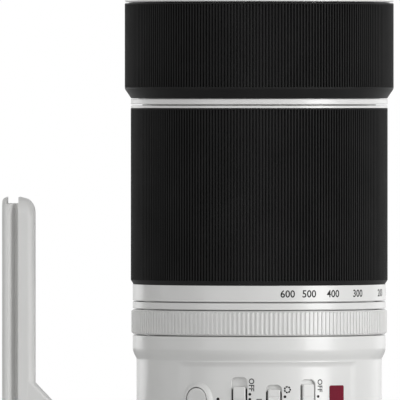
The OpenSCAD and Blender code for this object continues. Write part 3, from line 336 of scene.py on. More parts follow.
def soft_corner(radius, end, soft):
    """Eases a turned side of a radius into its end face, over a length of soft both ways."""
    return [(radius, end - soft), (radius - 0.3 * soft, end - 0.3 * soft), (radius - soft, end)]


def arms(count):
    """Directions (across, up) round a circle."""
    angles = [math.tau * k / count for k in range(count)]
    return [(math.cos(a), math.sin(a)) for a in angles]


def placed(name, data):
    """A new object in the scene."""
    made = bpy.data.objects.new(name, data)
    scene.collection.objects.link(made)
    return made


def settle(piece):
    """Welds the mesh, turns its faces outwards and smooths all edges but the crisp ones."""
    work = bmesh.new()
    work.from_mesh(piece.data)
    bmesh.ops.remove_doubles(work, verts=work.verts, dist=WELD)
    bmesh.ops.recalc_face_normals(work, faces=work.faces)
    work.to_mesh(piece.data)
    work.free()
    piece.data.shade_smooth()
    piece.data.set_sharp_from_angle(angle=SHARP)
    return piece


def loft(name, loops, joined=False):
    """A closed skin through loops with equal counts of points, capped at its ends or joined round."""
    count = len(loops[0])
    faces = []
    for i in range(len(loops) if joined else len(loops) - 1):
        low, high = i * count, (i + 1) % len(loops) * count
        for k in range(count):
            n = (k + 1) % count
            faces.append((low + k, low + n, high + n, high + k))
    if not joined:
        last = (len(loops) - 1) * count
        faces += [tuple(range(count)), tuple(range(last, last + count))]
    mesh = bpy.data.meshes.new(name)
    mesh.from_pydata([point for loop in loops for point in loop], [], faces)
    return settle(placed(name, mesh))


def turn(name, outline, angles=ROUND, relief=None):
    """A ring turned from a closed outline of (radius, z); relief(angle, radius, z) comes off it."""
    loops = []
    for radius, z in outline:
        cuts = [relief(a, radius, z) if relief else 0.0 for a in angles]
        loops.append([polar(radius - cut, a, z) for a, cut in zip(angles, cuts)])
    return loft(name, loops, joined=True)


def spin(name, place, profile, count=64):
    """A round body on its own axis, from a profile of (radius, out)."""
    ways = arms(count)
    return loft(name, [[place(radius * u, radius * v, out) for u, v in ways] for radius, out in profile])


def block(name, place, size, corner, levels):
    """A body with a rounded rectangular outline that grows by level: levels are (out, grow)."""
    loops = []
    for out, grow in levels:
        outline = rounded_rect(size[0] + 2 * grow, size[1] + 2 * grow, corner + grow)
        loops.append([place(u, v, out) for u, v in outline])
    return loft(name, loops)


def applied(piece):
    """Bakes a piece's modifiers into its mesh."""
    graph = bpy.context.evaluated_depsgraph_get()
    mesh = bpy.data.meshes.new_from_object(piece.evaluated_get(graph))
    piece.modifiers.clear()
    piece.data = mesh
    return settle(piece)


def combined(piece, operation, others):
    """Cuts the others out of a piece, or melts them into it."""
    for other in others:
        change = piece.modifiers.new(other.name, "BOOLEAN")
        change.operation = operation
        change.solver = "EXACT"
        change.object = other
    applied(piece)
    for other in others:
        bpy.data.objects.remove(other)
    return piece


def eased(piece, width, segments=3):
    """Rounds the sharp edges of a piece."""
    edge = piece.modifiers.new("eased", "BEVEL")
    edge.width = width
    edge.segments = segments
    edge.limit_method = "ANGLE"
    edge.angle_limit = SHARP
    return applied(piece)


def dress(piece, body, slot, *nodes, finish=None):
    """Gives a piece its finish and its body, and hides the nodes it stands for."""
    piece.data.materials.clear()
    piece.data.materials.append(finish or FINISHES[slot])
    piece.modifiers.new("even_shading", "WEIGHTED_NORMAL").keep_sharp = True
    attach(piece, body)
    if nodes:
        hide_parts(*nodes)
    return piece


def ribs(count, rib):
    """Panel angles of a ring's ribs, and the depth of the groove at each of them as a share."""
    angles = []
    depth_at = {}
    for i in range(count):
        for share, height in rib:
            angle = (i + share) * 360 / count
            angles.append(angle)
            depth_at[angle] = 1.0 - height
    return angles, depth_at


def flat_rib(foot, crown):
    """A rib as (share of the pitch, share of the height) points, with a flat crown and round edges."""
    edge = crown - foot
    rising = [(0.0, 0.0), (foot, 0.0), (foot + 0.2 * edge, 0.7), (foot + 0.5 * edge, 0.93), (crown, 1.0)]
    return rising + [(1.0 - share, height) for share, height in rising[:0:-1]]


RUBBER_RIB = flat_rib(0.23, 0.40)
RUBBER_DEPTH = 1.0 * MM


def ribbed_rubber(name, node, body, count, smooth_rear, smooth_front, rear_drop, front=None):
    """A rubber sleeve whose ribs fade out into a smooth band at each end; it drops off towards the rear."""
    z0, z1, r = span(node)
    z1 = front or z1
    bore = r - 1.5 * MM
    fade = 0.25 * MM
    soft = 0.3 * MM
    angles, depth_at = ribs(count, RUBBER_RIB)

    def relief(angle, radius, z):
        inside = min(z - z0 - smooth_rear, z1 - smooth_front - z)
        share = min(max(inside / fade, 0.0), 1.0)
        return RUBBER_DEPTH * depth_at[angle] * share if radius > r - 0.2 * MM else 0.0

    rear = [(r - rear_drop, z0), (r, z0 + smooth_rear)]
    end = [(r, z1 - smooth_front), *soft_corner(r, z1, soft)]
    grooves = [(r, z0 + smooth_rear + fade), (r, z1 - smooth_front - fade)]
    outline = [(bore, z0), *rear, *grooves, *end, (bore, z1)]
    return dress(turn(name, outline, angles, relief), body, "rubber_grip", node)


def focus_rings():
    """The focus rubber and its black sleeve with the smooth chamfer behind it."""
    grip0, _, grip_r = span("focus_grip")
    z0, z1, _ = span("focus_ring")
    bore, chamfer = grip_r - 3.2 * MM, grip_r - 2.35 * MM
    sleeve, brim = grip_r - 1.5 * MM, grip_r - 0.05 * MM
    rear, front = z0 - 0.35 * MM, z1 - 0.2 * MM
    corners = [
        (bore, rear, 0.0), (chamfer, rear, 0.2 * MM), (brim, grip0 - 0.3 * MM, 0.4 * MM), (brim, grip0, 0.0),
        (sleeve, grip0, 0.0), (sleeve, front, 0.0), (bore, front, 0.0),
    ]
    dress(turn("focus_sleeve", rounded(corners)), "focus_ring", "black_plastic", "focus_ring")
    bands = {"smooth_rear": 0.3 * MM, "smooth_front": 0.4 * MM, "rear_drop": 0.05 * MM}
    ribbed_rubber("focus_rubber", "focus_grip", "focus_ring", 266, front=z1 - 0.45 * MM, **bands)


def zoom_rings():
    """The zoom rubber, the white ring that carries it, and the fixed bands on both sides."""
    z0, z1, r = span("zoom_ring")
    grip0, grip1, _ = span("zoom_grip")
    scale_r = span("index_ring")[2]
    bore = scale_r - 3.3 * MM
    sleeve = r - 1.7 * MM
    front = z1 - 0.2 * MM
    edge = 0.3 * MM
    corners = [
        (bore, z0, 0.0), (scale_r, z0, edge), (scale_r, grip0, 0.0), (sleeve, grip0, 0.0),
        (sleeve, grip1, 0.0), (r, grip1, 0.0), (r, front, edge), (bore, front, 0.0),
    ]
    dress(turn("zoom_sleeve", rounded(corners)), "zoom_ring", "white_paint", "zoom_ring")
    bands = {"smooth_rear": 1.6 * MM, "smooth_front": 0.45 * MM, "rear_drop": 1.0 * MM}
    ribbed_rubber("zoom_rubber", "zoom_grip", "zoom_ring", 254, **bands)
    for name, node, wall, drop in (("middle_band", "mid_ring", 2.7 * MM, 0.15 * MM),
                                   ("index_band", "index_ring", 3.5 * MM, 0.0)):
        z0, z1, r = span(node)
        low, high = z0 - drop, z1 - drop
        band = [(r - wall, low, 0.0), (r, low, edge), (r, high, edge), (r - wall, high, 0.0)]
        dress(turn(name, rounded(band)), "barrel", "white_paint", node)


SILVER_RIB = flat_rib(0.22, 0.44)


def aperture_ring():
    """A silver ring with fine ribs between two smooth rims."""
    z0, z1, r = span("aperture_ring")
    rim = 0.3 * MM
    depth = 0.35 * MM
    edge = 0.25 * MM
    bore = r - 3.8 * MM
    low = r - depth - 0.15 * MM
    angles, depth_at = ribs(176, SILVER_RIB)

    def relief(angle, radius, z):
        return depth * depth_at[angle] if radius > low + 0.01 * MM else 0.0

    rear = [(bore, z0), (low - edge, z0), (low, z0 + edge), (low, z0 + rim)]
    ribbed = [(r, z0 + rim + edge), (r, z1 - rim - edge)]
    front = [(low, z1 - rim), (low, z1 - edge), (low - edge, z1), (bore, z1)]
    ring = turn("fluted_aperture_ring", rear + ribbed + front, angles, relief)
    dress(ring, "aperture_ring", "silver_paint", "aperture_ring")


# The control barrel and the panel in it
RING_GAP = 0.4 * MM
SHOULDER_R = span("control_barrel")[2]
CONTROL_R = SHOULDER_R - 1.4 * MM
PANEL_DEPTH = 0.75 * MM
PANEL_R = CONTROL_R - PANEL_DEPTH
Z_SHOULDER = span("aperture_ring")[0] - RING_GAP
Z_PANEL = (Z_SHOULDER - 36.0 * MM, Z_SHOULDER - 9.3 * MM)
PANEL_ANGLES = (-42.5, 53.0)
PANEL_SLOPE = 2.0 * MM
PANEL_FADE = (7.0 * MM, 4.5 * MM)

# The sliding switches, each with its panel angle and its count of stops, and the set button
STEM = (1.8 * MM, 1.0 * MM)
SLOT_FLOOR = PANEL_R - 1.4 * MM
SLOT_W = 5.8 * MM
STEP = 1.85 * MM
Z_ROW = sum(corner.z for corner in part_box("preset_selector")) / 2
SWITCHES = {"preset_selector": (-9.4, 3), "aperture_mode_switch": (7.0, 2), "focus_limiter": (23.7, 2)}
SET_ANGLE = -30.4
SET_R = 4.1 * MM
SET_HOLE_R = SET_R + 0.3 * MM
SET_RISE = 0.95 * MM


def smooth_step(share):
    share = min(max(share, 0.0), 1.0)
    return share * share * (3 - 2 * share)


def eased_taper(share, top=0.6):
    """A straight slope from 0 to 1 that rounds off over its last part, top."""
    return (share - max(share - 1 + top, 0.0) ** 2 / (2 * top)) / (1 - top / 2)


def panel_relief(angle, z):
    """Depth of the switch panel: full inside its outline, and fading out over a soft slope."""
    middle = sum(PANEL_ANGLES) / 2
    half_w = math.radians(PANEL_ANGLES[1] - middle) * CONTROL_R
    half_h = (Z_PANEL[1] - Z_PANEL[0]) / 2
    along = (half_h - abs(z - sum(Z_PANEL) / 2)) / PANEL_SLOPE
    off = math.radians((angle - middle + 180) % 360 - 180) * CONTROL_R
    across = (half_w - abs(off)) / PANEL_FADE[off > 0]
    dip = 1 - (1 - min(max(along, 0.0), 1.0)) ** 2
    return PANEL_DEPTH * dip * smooth_step(across)


def close_lines(edge, inward, reach, step):
    """Places for mesh lines that run closely together from an edge inwards."""
    return [edge + inward * step * k for k in range(-1, round(reach / step) + 1)]


def set_boss():
    """The low cone round the set button: flat on top, and steeper towards its foot on the panel."""
    flat, bent = seat(SET_ANGLE, Z_ROW), wrap(SET_ANGLE, Z_ROW)
    soft, width, steps = 0.12 * MM, 1.55 * MM, 8
    sink, root = 0.04 * MM, 0.6 * MM
    rim_r = SET_HOLE_R + 2 * soft
    ways = arms(64)
    loops = [[flat(SET_HOLE_R * u, SET_HOLE_R * v, PANEL_R + SET_RISE) for u, v in ways]]
    for k in range(steps + 1):
        share = k / steps
        r = rim_r + width * share
        loop = []
        for u, v in ways:
            fall = (rim_r * u) ** 2 / (2 * PANEL_R)
            height = (SET_RISE - soft + fall) * (1 - share ** 1.7) - sink * share
            loop.append(bent(r * u, r * v, PANEL_R + height))
        loops.append(loop)
    foot_r = rim_r + width
    loops.append([bent(foot_r * u, foot_r * v, PANEL_R - root) for u, v in ways])
    return loft("set_boss", loops)


def panel_cutters(deep):
    """What is cut into the panel: each switch's slot, the way of its stem, and the set button's hole."""
    cutters = []
    chamfer, spare, slack = 0.25 * MM, 3.2 * MM, 0.6 * MM
    slot_levels = [(SLOT_FLOOR, 0.0), (PANEL_R - chamfer, 0.0), (PANEL_R + 2 * chamfer, 3 * chamfer)]
    way_levels = [(deep, 0.0), (SLOT_FLOOR + 0.1 * MM, 0.0)]
    for node, (angle, stops) in SWITCHES.items():
        low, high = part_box(node)
        travel = (stops - 1) * STEP
        place = seat(angle, Z_ROW)
        slot = (SLOT_W, high.z - low.z + travel + spare)
        way = (STEM[0] + slack, STEM[1] + travel + slack)
        cutters.append(block(node + "_slot", place, slot, 1.8 * MM, slot_levels))
        cutters.append(block(node + "_way", place, way, 0.4 * MM, way_levels))
    hole = [(SET_HOLE_R, deep), (SET_HOLE_R, PANEL_R + 2 * SET_RISE)]
    return cutters + [spin("set_hole", seat(SET_ANGLE, Z_ROW), hole)]


def control_shell():
    """The white barrel with its soft shoulder, the switch panel and the switch slots."""
    z0, z_spigot, _ = span("control_barrel")
    edge = 0.3 * MM
    spigot_r, spigot_wall = SHOULDER_R - 3.6 * MM, 1.6 * MM
    bore = CONTROL_R - 2.6 * MM
    shoulder, taper = 4.6 * MM, 4.0 * MM
    fine, coarse = 0.3 * MM, 2.0 * MM
    reach = PANEL_SLOPE + fine

    fine_angle, left, right = [math.degrees(length / CONTROL_R) for length in (fine, *PANEL_FADE)]
    close = close_lines(PANEL_ANGLES[0], 1, left, fine_angle)
    close += close_lines(PANEL_ANGLES[1], -1, right, fine_angle)
    apart = 360 / SEGMENTS / 2
    angles = sorted(close + [a - 180 for a in ROUND if min(abs(a - 180 - c) for c in close) > apart])

    steps = 8
    z_taper = Z_SHOULDER - shoulder - taper
    slope = [(CONTROL_R + (SHOULDER_R - CONTROL_R) * eased_taper(k / steps), z_taper + taper * k / steps)
             for k in range(steps + 1)]
    rows = close_lines(Z_PANEL[0], 1, reach, fine) + close_lines(Z_PANEL[1], -1, reach, fine)
    rows += [Z_PANEL[0] + reach + k * coarse for k in range(1, 11)]
    side = [(CONTROL_R, z) for z in sorted(rows)]
    top = soft_corner(SHOULDER_R, Z_SHOULDER, edge)
    spigot = [(spigot_r, Z_SHOULDER), (spigot_r, z_spigot), (spigot_r - spigot_wall, z_spigot),
              (spigot_r - spigot_wall, Z_SHOULDER - 2 * MM), (bore, Z_SHOULDER - 4 * MM)]
    outline = [(bore, z0), (CONTROL_R - edge, z0), (CONTROL_R, z0 + edge), *side, *slope, *top, *spigot]

    def relief(angle, radius, z):
        return panel_relief(angle, z) if radius > bore + MM else 0.0

    shell = turn("control_shell", outline, angles, relief)
    combined(shell, "UNION", [set_boss()])
    combined(shell, "DIFFERENCE", panel_cutters(bore - MM))
    dress(shell, "barrel", "white_paint", "control_barrel")


def switches():
    """Three white knobs with a centre line, each on a black plate low in its slot; the plate closes the slot,
    and its black is painted shade for the deep gaps beside the knob.
    """
    knob_w = 4.5 * MM
    rise = 0.7 * MM
    soft = 0.45 * MM
    for node, (angle, _) in SWITCHES.items():
        low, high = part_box(node)
        length = high.z - low.z
        place = seat(angle, (low.z + high.z) / 2)
        top = PANEL_R + rise
        levels = [(SLOT_FLOOR + 0.3 * MM, 0.0), (top - soft, 0.0), (top - 0.4 * soft, -0.15 * soft),
                  (top - 0.12 * soft, -0.45 * soft), (top, -soft)]
        knob = block(node + "_knob", place, (knob_w, length), 0.7 * MM, levels)
        groove = [(top - 0.22 * MM, -0.12 * MM), (top + 0.1 * MM, 0.0)]
        line = block(node + "_line", place, (knob_w + MM, 0.5 * MM), 0.2 * MM, groove)
        combined(knob, "DIFFERENCE", [line])
        stem = block(node + "_stem", place, STEM, 0.3 * MM,
                     [(SLOT_FLOOR - 2.5 * MM, 0.0), (SLOT_FLOOR + 0.5 * MM, 0.0)])
        combined(knob, "UNION", [stem])
        dress(knob, node, "white_plastic", node)
        # A black plate low in the slot under the knob; its black is painted shade for the deep gaps beside
        # the knob.
        gap_shade_plate = block(node + "_slide", place, (SLOT_W - 0.1 * MM, length - 0.6 * MM), 1.2 * MM,
                      [(SLOT_FLOOR + 0.05 * MM, 0.0), (SLOT_FLOOR + 0.28 * MM, 0.0)])
        dress(gap_shade_plate, node, "black_plastic")


def buttons():
    """The set button in its low cone and the four focus buttons on the front barrel."""
    soft = 0.3 * MM
    top = PANEL_R + SET_RISE
    dip = [(0.6 * SET_R, top - 0.12 * MM), (0.2 * SET_R, top - 0.2 * MM)]
    cap = [(SET_R, SLOT_FLOOR - 2.0 * MM), *soft_corner(SET_R, top, soft), *dip]
    dress(spin("set_button_cap", seat(SET_ANGLE, Z_ROW), cap), "set_button", "white_plastic", "set_button")
    top = span("front_barrel")[2] - 0.1 * MM
    for i in range(4):
        node = f"focus_button_{i + 1}"
        low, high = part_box(node)
        r = (high.z - low.z) / 2
        dip = [(0.7 * r, top - 0.25 * MM), (0.4 * r, top - 0.4 * MM), (0.1 * r, top - 0.45 * MM)]
        cap = [(r, top - 2.9 * MM), *soft_corner(r, top, soft), *dip]
        place = seat(90 * i, (low.z + high.z) / 2)
        dress(spin(node + "_cap", place, cap), node, "button_rubber", node)


def hood_ring():
    """The black front ring: lugs for a hood outside, a thread for filters inside."""
    z0, z1, _ = span("hood_mount_ring")
    r = span("front_barrel")[2] - 2.7 * MM
    z_seat = span("front_barrel")[1]
    thread_r, thread_z = r - 5.8 * MM, z1 - 5.0 * MM
    cell_r = r - 3.25 * MM
    pitch, depth, rows = 0.75 * MM, 0.4 * MM, 8
    edge = 0.8 * MM

    ledge, ripple, ripple_pitch = 1.0 * MM, 0.25 * MM, 0.8 * MM
    baffles = [(thread_r - ledge + ripple * (k % 2), z0 + (k + 1) * ripple_pitch) for k in range(11)]
    bore = [(thread_r - ledge, z0), *baffles, (thread_r - 0.6 * MM, thread_z)]
    turns = [(thread_r, thread_z + k * pitch / rows) for k in range(round(5.2 * rows))]
    face = [(thread_r + depth, z1), *reversed(soft_corner(r, z1, edge))]
    skirt = [(r, z_seat), (cell_r, z_seat), (cell_r, z0)]

    def relief(angle, radius, z):
        if abs(radius - thread_r) > 0.01 * MM or z > z1 - pitch:
            return 0.0
        return -depth * abs(2 * ((z / pitch + angle / 360) % 1.0) - 1)

    ring = turn("hood_ring", bore + turns + face + skirt, relief=relief)
    lugs = []
    arc, half, height, soft = 42, 12, 1.2 * MM, 0.2 * MM
    root, low, high = r - MM, z1 - 5.5 * MM, z1 - 3.5 * MM
    for i in range(3):
        loops = []
        for k in range(-half, half + 1):
            rise = r + height * min(1.0, (half + 0.5 - abs(k)) / 2)
            corners = [(root, low, 0.0), (rise, low, soft), (rise, high, soft), (root, high, 0.0)]
            angle = 90 + 120 * i + k * arc / (2 * half)
            loops.append([polar(radius, angle, z) for radius, z in rounded(corners)])
        lugs.append(loft(f"hood_lug_{i + 1}", loops))
    combined(ring, "UNION", lugs)
    dress(ring, "barrel", "black_plastic", "hood_mount_ring")


def front_shell():
    """The white front barrel with its button dishes, and the tube that the focus ring turns on."""
    z_tail, z1, r = span("front_barrel")
    z0 = span("focus_ring")[1]
    mid0, mid1, _ = span("mid_ring")
    tube, seat_r, bore = r - 3.5 * MM, r - 5.0 * MM, r - 5.9 * MM
    spigot, spigot_bore, web_bore = r - 6.5 * MM, r - 8.1 * MM, r - 10.8 * MM
    z_web = mid0 + 4.0 * MM
    slope = 2.0 * MM
    corners = [
        (bore, z1, 0.0), (r - slope, z1, 0.5 * MM), (r, z1 - slope, 1.5 * MM), (r, z0, 0.3 * MM),
        (tube, z0, 0.0), (tube, mid1, 0.0), (seat_r, mid1, 0.0), (seat_r, mid0, 0.0),
        (spigot, mid0, 0.0), (spigot, z_tail, 0.0), (spigot_bore, z_tail, 0.0), (spigot_bore, mid0, 0.0),
        (web_bore, mid0, 0.0), (web_bore, z_web, 0.0), (bore, z_web, 0.0),
    ]
    shell = turn("front_shell", rounded(corners, 6))
    dishes = []
    deep, wide, steps = 0.8 * MM, 1.8 * MM, 6
    for i in range(4):
        low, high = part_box(f"focus_button_{i + 1}")
        hole = (high.z - low.z) / 2 + 0.3 * MM
        rim = [(hole + wide * k / steps, r - deep * (1 - k / steps) ** 1.6 + 0.05 * MM * k)
               for k in range(steps + 1)]
        profile = [(hole, r - 4.5 * MM), *rim, (hole + 2.6 * MM, r + 1.5 * MM)]
        dishes.append(spin(f"focus_dish_{i + 1}", seat(90 * i, (low.z + high.z) / 2), profile))
    combined(shell, "DIFFERENCE", dishes)
    dress(shell, "barrel", "white_paint", "front_barrel")


def collar():
    """The tripod collar: a ring with a pad for the foot and a boss for the lock knob."""
    z0, z1, _ = span("collar_ring")
    middle = (z0 + z1) / 2
    base = -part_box("collar_ring")[0].x
    r = base - 4.8 * MM
    bore = r - 4.7 * MM
    edge = 1.0 * MM
    ring = turn("collar", rounded([(bore, z0, 0.0), (r, z0, edge), (r, z1, edge), (bore, z1, 0.0)], 6))
    soft = 0.6 * MM
    pad_levels = [(bore + MM, 0.0), (base - soft, 0.0), (base - 0.3 * soft, -0.3 * soft), (base, -soft)]
    pad = block("pad", seat(-90, middle), (34 * MM, z1 - z0 - 5 * MM), 3 * MM, pad_levels)
    boss_r, flare = 8 * MM, 1.6 * MM
    boss_foot = [(boss_r + flare * (1 - k / 5) ** 2, r + 0.4 * flare * k) for k in range(6)]
    boss = [(boss_r + flare, bore + MM), *boss_foot, (boss_r, base - soft), (boss_r - soft, base)]
    combined(ring, "UNION", [pad, spin("boss", seat(180, middle), boss)])
    thread = [(2.65 * MM, bore - MM), (2.65 * MM, base + MM)]
    combined(ring, "DIFFERENCE", [spin("knob_thread", seat(180, middle), thread, 32)])
    dress(ring, "collar", "white_paint", "collar_ring")


def lock_knob():
    """The fluted knob on its screw, with a sunk face; its levels are (out, radius, share of the flutes)."""
    low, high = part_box("lock_knob")
    r = (high.z - low.z) / 2
    end = high.y
    start = end - 13 * MM
    screw_r = 2.5 * MM
    flutes, steps, depth = 10, 12, 1.1 * MM
    neck_r = r - 1.2 * MM
    screw = [(low.y, screw_r, 0.0), (start, screw_r, 0.0)]
    neck = [(start, neck_r - 0.4 * MM, 0.0), (start + 0.4 * MM, neck_r, 0.0), (start + 1.6 * MM, neck_r, 0.0)]
    grip = [(start + 2.0 * MM, r - 0.3 * MM, 0.6), (start + 2.4 * MM, r, 1.0), (end - 1.4 * MM, r, 1.0)]
    rim = [(end - 0.5 * MM, r - 0.25 * MM, 1.0), (end - 0.1 * MM, r - 0.8 * MM, 0.8),
           (end, r - 1.5 * MM, 0.4)]
    face = [(end, r - 2.5 * MM, 0.0), (end - 0.6 * MM, r - 2.8 * MM, 0.0), (end - 0.45 * MM, 0.5 * MM, 0.0)]
    place = seat(180, (low.z + high.z) / 2)
    loops = []
    for out, radius, share in screw + neck + grip + rim + face:
        loop = []
        for k, (u, v) in enumerate(arms(flutes * steps)):
            across = 2 * (k / steps % 1.0) - 1
            arm = radius - depth * share * max(0.0, 1 - (across / 0.55) ** 2)
            loop.append(place(arm * u, arm * v, out))
        loops.append(loop)
    dress(loft("fluted_lock_knob", loops), "lock_knob", "black_plastic", "lock_knob")


REAR_R = 34.0 * MM


def rear_shell():
    """The rear barrel, which widens in a soft curve from the mount to the collar."""
    z0, z1, _ = span("rear_barrel")
    z_shoulder = span("collar_ring")[0] - RING_GAP
    z_control = span("control_barrel")[0]
    throat, inner_r = 22.5 * MM, REAR_R - 3.0 * MM
    collar_seat = CONTROL_R - 2.0 * MM
    spigot = CONTROL_R - 2.65 * MM
    bore = collar_seat - 2.4 * MM
    taper0, taper1 = z0 + 7.1 * MM, z_shoulder - 11.5 * MM
    z_floor = z0 + 5.0 * MM
    edge = 0.3 * MM
    steps = 24
    taper = []
    for k in range(steps + 1):
        share = k / steps
        widened = eased_taper(share ** 1.3, 0.3)
        taper.append((REAR_R + (CONTROL_R - REAR_R) * widened, taper0 + (taper1 - taper0) * share))
    outside = [(throat, z0), (REAR_R - edge, z0), (REAR_R, z0 + edge), *taper]
    outside += [(CONTROL_R, z_shoulder - edge), (CONTROL_R - edge, z_shoulder), (collar_seat, z_shoulder)]
    front = [(collar_seat, z_control), (spigot, z_control), (spigot, z1), (bore, z1)]
    inside = [(bore, taper1), (inner_r, taper0), (inner_r, z_floor), (throat, z_floor)]
    dress(turn("rear_shell", outside + front + inside), "barrel", "white_paint", "rear_barrel")


def mount_screws():
    """Four countersunk screws with a cross recess in the mount flange."""
    low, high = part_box("mount_screws")
    ring_r, head_r, body_r = 26.15 * MM, 2.0 * MM, 1.0 * MM
    profile = [(body_r, low.z - high.z), (body_r, -1.0 * MM), (head_r, -0.1 * MM), (head_r, 0.0)]
    bar_w, bar_l, recess = 0.6 * MM, 2.4 * MM, 0.7 * MM
    levels = [(-recess, -0.1 * MM), (0.2 * MM, 0.0)]
    screws = []
    for i in range(4):
        centre = polar(ring_r, 135 + 90 * i, low.z)

        def place(u, v, out, centre=centre):
            return centre + Vector((u, v, -out))

        screw = spin(f"mount_screw_{i + 1}", place, profile, 32)
        bars = [block(f"bar_{i}_{k}", place, size, 0.2 * MM, levels)
                for k, size in enumerate(((bar_w, bar_l), (bar_l, bar_w)))]
        screws.append(combined(screw, "DIFFERENCE", bars))
    group = combined(screws[0], "UNION", screws[1:])
    dress(group, "barrel", "steel", "mount_screws")


def mount_dot():
    """The red dot that shows which way the mount turns in."""
    size, dome, root = 1.4 * MM, 0.5 * MM, 0.4 * MM
    crown = [(size * math.cos(a), REAR_R + dome * math.sin(a)) for a in (0.3, 0.7, 1.1, 1.4)]
    profile = [(size, REAR_R - root), (size, REAR_R), *crown]
    dot = spin("mount_dot", seat(90, span("rear_barrel")[0] + 3.6 * MM), profile, 32)
    dress(dot, "barrel", "black_plastic", finish=FINISHES["red_plate"])


def corner_inset(depth, radius):
    """How far a rounded corner lies inside its square outline at a depth below its top."""
    rest = max(radius - depth, 0.0)
    return radius - math.sqrt(max(radius ** 2 - rest ** 2, 0.0))


def foot():
    """The foot with its dovetail groove, and the neck that carries it on the collar."""
    low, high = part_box("tripod_foot")
    reach = -low.x
    thick = 11.8 * MM
    edge = 1.7 * MM
    lip = 2.1 * MM
    groove, run, wall = 3.8 * MM, 2.6 * MM, 1.3 * MM
    soft, end_soft = 2.8 * MM, 5.5 * MM
    top = reach - thick
    size = (high.y - low.y, high.z - low.z)
    middle = (low.z + high.z) / 2
    quarter = [math.radians(90 * k / 12) for k in range(13)]
    levels = [(reach - edge * (1 - math.cos(a)), -edge * (1 - math.sin(a))) for a in quarter]
    levels += [(top + end_soft, 0.0)]
    levels += [(top + soft * (1 - math.sin(a)), -soft * (1 - math.cos(a))) for a in quarter]
    place = seat(-90)

    def on_foot(across, up, out):
        drop = corner_inset(out - top, end_soft) - corner_inset(out - top, soft)
        return place(across, middle + up - (drop if up > 0 else 0.0), out)

    made = block("foot", on_foot, size, 6.0 * MM, levels)
    under, deep = reach - lip, reach - lip - run
    notch_run = 2.4 * MM
    notch = (size[0] + 2 * MM, 2 * notch_run)
    notch_levels = [(deep - wall, 0.0), (under + 0.4 * MM, 0.0)]
    cutters = [block("end_notch", seat(-90, high.z), notch, 0.3 * MM, notch_levels)]
    half = size[0] / 2
    section = rounded([
        (half + MM, under, 0.0), (half, under, 0.4 * MM), (half - groove, deep, 0.2 * MM),
        (half - groove, deep - 0.4 * MM, 0.0), (half, deep - wall, 0.3 * MM), (half + MM, deep - wall, 0.0),
    ])
    for side in (-1, 1):
        ends = [[place(side * u, z, out) for u, out in section] for z in (low.z - MM, high.z + MM)]
        cutters.append(loft(f"dovetail_{side}", ends))
    combined(made, "DIFFERENCE", cutters)

    c0, c1, _ = span("collar_ring")
    base = -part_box("collar_ring")[0].x
    root = top + soft
    outline = [(base, c0 + 3.5 * MM), (base, c1 + 2 * MM), (base + 5 * MM, c1 + 7.5 * MM),
               (root, c1 + 33.8 * MM + soft), (root, c0 + 5 * MM)]
    neck = loft("neck", [[place(u, v, out) for out, v in outline] for u in (low.y, high.y)])
    eased(neck, 0.9 * MM)
    combined(made, "UNION", [neck])

    holes = []
    screw_floor = base + 9 * MM
    screw_r, head_r, thread_r = 2.7 * MM, 4.6 * MM, 3.175 * MM
    for part in (1, 2):
        bore = [(screw_r, base - MM), (screw_r, screw_floor), (head_r, screw_floor),
                (head_r, reach - 0.4 * MM), (head_r + 0.8 * MM, reach + 0.4 * MM)]
        holes.append(spin(f"screw_hole_{part}", seat(-90, c0 + (c1 - c0) * part / 3), bore, 48))
    for k in range(2):
        bore = [(0.4 * MM, reach - 10 * MM), (thread_r, reach - 8.4 * MM), (thread_r, reach - 0.5 * MM),
                (4.2 * MM, reach + 0.5 * MM)]
        holes.append(spin(f"tripod_hole_{k}", seat(-90, high.z - (22 + 40 * k) * MM), bore, 48))
    combined(made, "DIFFERENCE", holes)
    dress(made, "collar", "white_paint", "tripod_foot", finish=FINISHES["foot_paint"])


PRINT_T = 0.012 * MM
PRINT_SINK = 0.03 * MM


def lettering(name, text, height, place, lift):
    """Printed letters as a thin closed sheet; place turns (across, up, out) into a point."""
    curve = bpy.data.curves.new(name, "FONT")
    curve.body = text
    curve.align_x = "CENTER"
    curve.align_y = "CENTER"
    curve.extrude = 0.01
    curve.offset = 0.016
    curve.resolution_u = 3
    made = placed(name, curve)
    bpy.context.view_layer.update()
    mesh = bpy.data.meshes.new_from_object(made.evaluated_get(bpy.context.evaluated_depsgraph_get()))
    bpy.data.objects.remove(made)
    rows = [v.co.y for v in mesh.vertices]
    scale = height / (max(rows) - min(rows))
    middle = (max(rows) + min(rows)) / 2
    for v in mesh.vertices:
        v.co = place(v.co.x * scale, (v.co.y - middle) * scale, lift + math.copysign(PRINT_T, v.co.z))
    return settle(placed(name, mesh))


# Panel angle of each focal length on the zoom ring at rest
FOCAL_LENGTHS = {600: 12.9, 500: 23.1, 400: 35.5, 300: 50.8, 200: 72.4, 150: 90.0}


